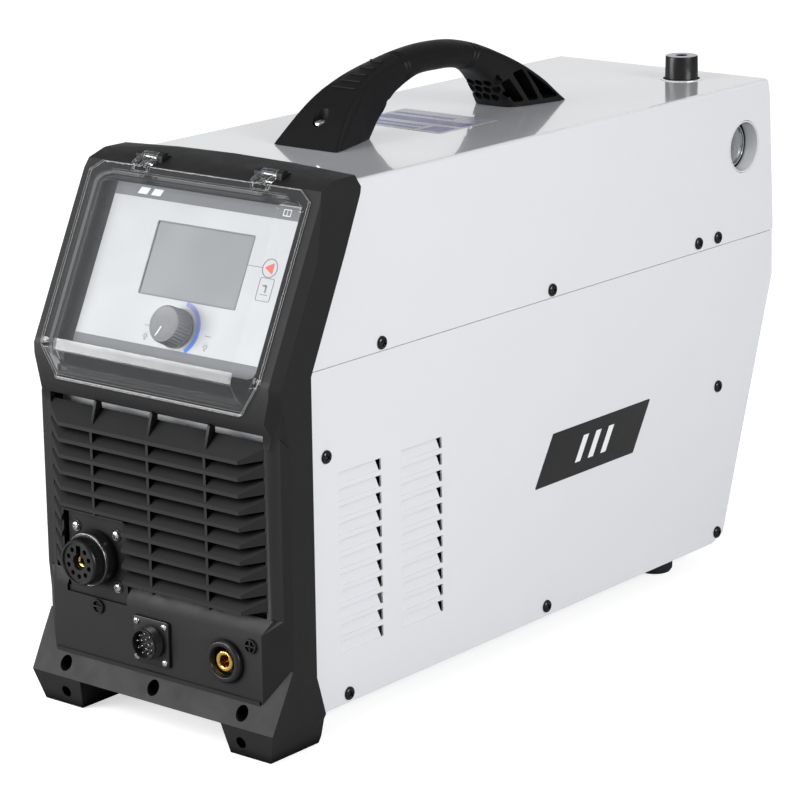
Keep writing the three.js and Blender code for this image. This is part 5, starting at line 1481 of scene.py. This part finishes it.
def inlet_and_earth():
    """Air inlet with its hose barb, and the earth bolt."""
    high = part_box("air_inlet_fitting")[1]
    centre = middle("air_inlet_fitting")
    here = place(Vector((centre.x, high.y - 18 * MM, centre.z)), -X, Y)
    hexagon = fillet(circle(11, 6), 1.0, 3, closed=True)
    barb = [(5.0, 8), (5.0, 9.5)]
    for i in range(3):
        z = 9.5 + i * 2.8
        barb += [(5.1, z), (5.0, z + 0.4), (4.1, z + 2.7)]
    profile = [(3, -30), (6.9, -30), (6.9, 0.5)] + barb + [(3.9, 18), (3.0, 18), (3, -30)]
    barb = merged(lathe(profile, 48), slab_ring(hexagon, 7.0, 0, 8))
    piece("air_inlet_barb", barb, here, MAT["brass"], "case", ["air_inlet_fitting"])
    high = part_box("earth_bolt")[1]
    centre = middle("earth_bolt")
    here = place(Vector((centre.x, high.y - 6.8 * MM, centre.z)), -X, Y)
    head = merged(slab(fillet(circle(7.2, 6), 0.6, 3, closed=True), 2.3, 6.8, 0.7, 0.1),
                  lathe(fillet([(0, 0.7), (8, 0.7), (8, 2.3), (0, 2.3)], [0, 0.3, 0.3, 0], 3), 48),
                  lathe([(0, -14), (2.9, -14), (2.9, 1), (0, 1)], 32))
    piece("earth_bolt_head", head, here, MAT["steel"], "case", ["earth_bolt"])


def slab_ring(outline, inner_radius, low, high):
    """A prism with a round hole, its outline resampled so both rims have equal point counts."""
    count = 72
    outer = []
    for i in range(count):
        angle = 2 * math.pi * i / count
        outer.append(ray_hit(outline, angle))
    return ring_shape(outer, circle(inner_radius, count), low, high)


def ray_hit(outline, angle):
    """Where a ray from the origin at this angle meets a closed outline."""
    direction = Vector((math.cos(angle), math.sin(angle)))
    best = 0.0
    for (x0, y0), (x1, y1) in zip(outline, outline[1:] + outline[:1]):
        edge = Vector((x1 - x0, y1 - y0))
        cross = direction.x * edge.y - direction.y * edge.x
        if abs(cross) < 1e-9:
            continue
        reach = (x0 * edge.y - y0 * edge.x) / cross
        share = (x0 * direction.y - y0 * direction.x) / cross
        if reach > 0 and -1e-6 <= share <= 1 + 1e-6:
            best = max(best, reach)
    return (direction.x * best, direction.y * best)


def switch_knob():
    disc = lathe(fillet([(0, 0.4), (19, 0.4), (19, 5), (17, 6.4), (0, 6.4)], [0, 0.4, 1.2, 1.0, 0], 4), 96)
    grip = slab(rounded_box(5, 19, 3, 6), 5.4, 20.5, 2.0)
    child = SWITCH_JOINT["child"]
    piece("mains_switch_handle", merged(disc, grip), SWITCH, MAT["black"], child,
          ["mains_switch_knob"])
    mark = slab(rounded_box(0.8, 6.0, 0.6, 4, 0, 9.5), 20.45, 20.7)
    piece("mains_switch_pointer", mark, SWITCH, MAT["white_print"], child)


# ------------------------------------------------------------------ feet, badges and label

def rear_feet():
    for name in ("left", "right"):
        centre = middle(f"rear_foot_{name}")
        here = place(Vector((centre.x, centre.y, 0)), X, Z)
        profile = fillet([(0, 6), (4, 6), (4, 0), (13.0, 0), (15, 3), (15, 15), (14, 17.6), (0, 17.6)],
                         [0, 0.5, 0.5, 1.2, 1.0, 1.0, 0.5, 0], 4)
        piece(f"rear_foot_rubber_{name}", lathe(profile, 72), here, MAT["rubber"], "case",
              [f"rear_foot_{name}"])


def side_badges():
    """Plain slanted plates that carry three slanted strokes, one on each side."""
    half = PANEL_HIGH.x / MM
    for name, side in (("left", -1), ("right", 1)):
        here = place(design(side * half, 0, 0), Y * side, X * side)

        def seen(outline):
            return anticlockwise([(y * side, z) for y, z in outline])

        plate = fillet(seen([(231, 124), (362, 124), (386, 163.7), (255, 163.7)]), 1.2, closed=True)
        piece(f"side_badge_{name}", slab(plate, 0.02, 0.35, 0.1), here, MAT["ink"], "case")
        strokes = []
        for i in range(3):
            start = 283 + i * 17
            outline = seen([(start, 134), (start + 7, 134), (start + 19, 153.7), (start + 12, 153.7)])
            strokes.append(slab(outline, 0.34, 0.44))
        piece(f"side_badge_mark_{name}", merged(*strokes), here, MAT["white_print"], "case")


def top_label():
    """Blank information label under the handle: bands of colour and empty fields only."""
    here = place(design(0, 0, TOP / MM), X, Z)
    piece("top_label", slab(rounded_box(46, 35.7, 1.0, 3, -2, 233.7), 0.02, 0.16), here, MAT["label"], "case")
    bars = [slab(box_outline(-44, 14, y, y + 5.5), 0, 0.05) for y in (204, 214, 250)]
    bars += [slab(box_outline(-44, 40, 229, 243), 0, 0.05), slab(box_outline(20, 40, 203, 222), 0, 0.05)]
    piece("top_label_bands", shifted(merged(*bars), z=0.17), here, MAT["violet_print"], "case")


# ------------------------------------------------------------------ stage, light and camera

def stage():
    floor_mesh = bpy.data.meshes.new("floor")
    floor_mesh.from_pydata([(-40, -40, 0), (40, -40, 0), (40, 40, 0), (-40, 40, 0)], [], [(0, 1, 2, 3)])
    floor = new_object("floor", floor_mesh)
    floor.location.z = -0.4 * MM
    nodes = Nodes("pale_floor")
    paper = nodes.add("ShaderNodeBsdfDiffuse", {"Color": (0.80, 0.80, 0.80, 1)}).outputs["BSDF"]
    glow = nodes.add("ShaderNodeEmission", {"Color": (1, 1, 1, 1), "Strength": 0.62}).outputs["Emission"]
    both = nodes.add("ShaderNodeAddShader", {0: paper, 1: glow}).outputs["Shader"]
    quiet = nodes.add("ShaderNodeBsdfDiffuse", {"Color": (0.45, 0.45, 0.45, 1)}).outputs["BSDF"]
    seen = nodes.add("ShaderNodeLightPath").outputs["Is Camera Ray"]
    floor.data.materials.append(nodes.finish(nodes.add("ShaderNodeMixShader", {0: seen, 1: quiet, 2: both})
                                             .outputs["Shader"]))
    world = bpy.data.worlds.new("studio")
    world.use_nodes = True
    background = world.node_tree.nodes["Background"]
    background.inputs["Color"].default_value = (0.96, 0.98, 1.0, 1)
    background.inputs["Strength"].default_value = 0.24
    bpy.context.scene.world = world
    bpy.context.scene.view_settings.view_transform = "Standard"


def softbox(name, location, size, power, target=(0, -0.2, 0.2)):
    light = bpy.data.lights.new(name, "AREA")
    light.shape = "RECTANGLE"
    light.size, light.size_y = size
    light.energy = power
    obj = bpy.data.objects.new(name, light)
    obj.location = location
    aim = Vector(target) - Vector(location)
    obj.rotation_euler = aim.to_track_quat("-Z", "Y").to_euler()
    bpy.context.scene.collection.objects.link(obj)


def studio_lights():
    softbox("key_front_left", (-1.7, -2.7, 0.62), (2.6, 1.2), 96, (0, -0.2, 0.15))
    softbox("key_front_high", (-0.9, -2.6, 2.2), (1.6, 1.2), 40)
    softbox("fill_right", (3.3, -0.2, 1.5), (1.6, 1.4), 98)
    softbox("overhead", (0.2, 0.6, 2.8), (1.4, 1.4), 3)
    softbox("back_panel", (-2.1, 3.0, 1.2), (3.4, 1.9), 12)


# Camera: where the unit is seen from, as direction, distance and turn about the line of sight.
VIEW_AZIMUTH = math.radians(39.196)
VIEW_ELEVATION = math.radians(15.052)
VIEW_ROLL = math.radians(-0.735)
VIEW_DISTANCE = 2.4624
LENS = 142.55


def camera():
    data = bpy.data.cameras.new("view")
    data.lens = LENS
    data.sensor_width = 36
    data.clip_end = 100
    obj = bpy.data.objects.new("view", data)
    bpy.context.scene.collection.objects.link(obj)
    level = math.cos(VIEW_ELEVATION)
    back = Vector((math.sin(VIEW_AZIMUTH) * level, -math.cos(VIEW_AZIMUTH) * level, math.sin(VIEW_ELEVATION)))
    target = design(-0.17, 200.0, 185.6)
    turn = (-back).to_track_quat("-Z", "Y").to_matrix().to_4x4() @ Matrix.Rotation(VIEW_ROLL, 4, "Z")
    obj.matrix_world = Matrix.Translation(target + back * VIEW_DISTANCE) @ turn
    bpy.context.scene.camera = obj


dress_frame()
case_screws()
clear_cover()
panel_prints()
control_knob()
torch_socket()
control_socket()
work_socket()
polarity_discs()
carry_handle()
regulator_knob()
gauge()
fan()
mains_switch()
switch_knob()
rear_details()
inlet_and_earth()
rear_feet()
side_badges()
top_label()
stage()
studio_lights()
camera()
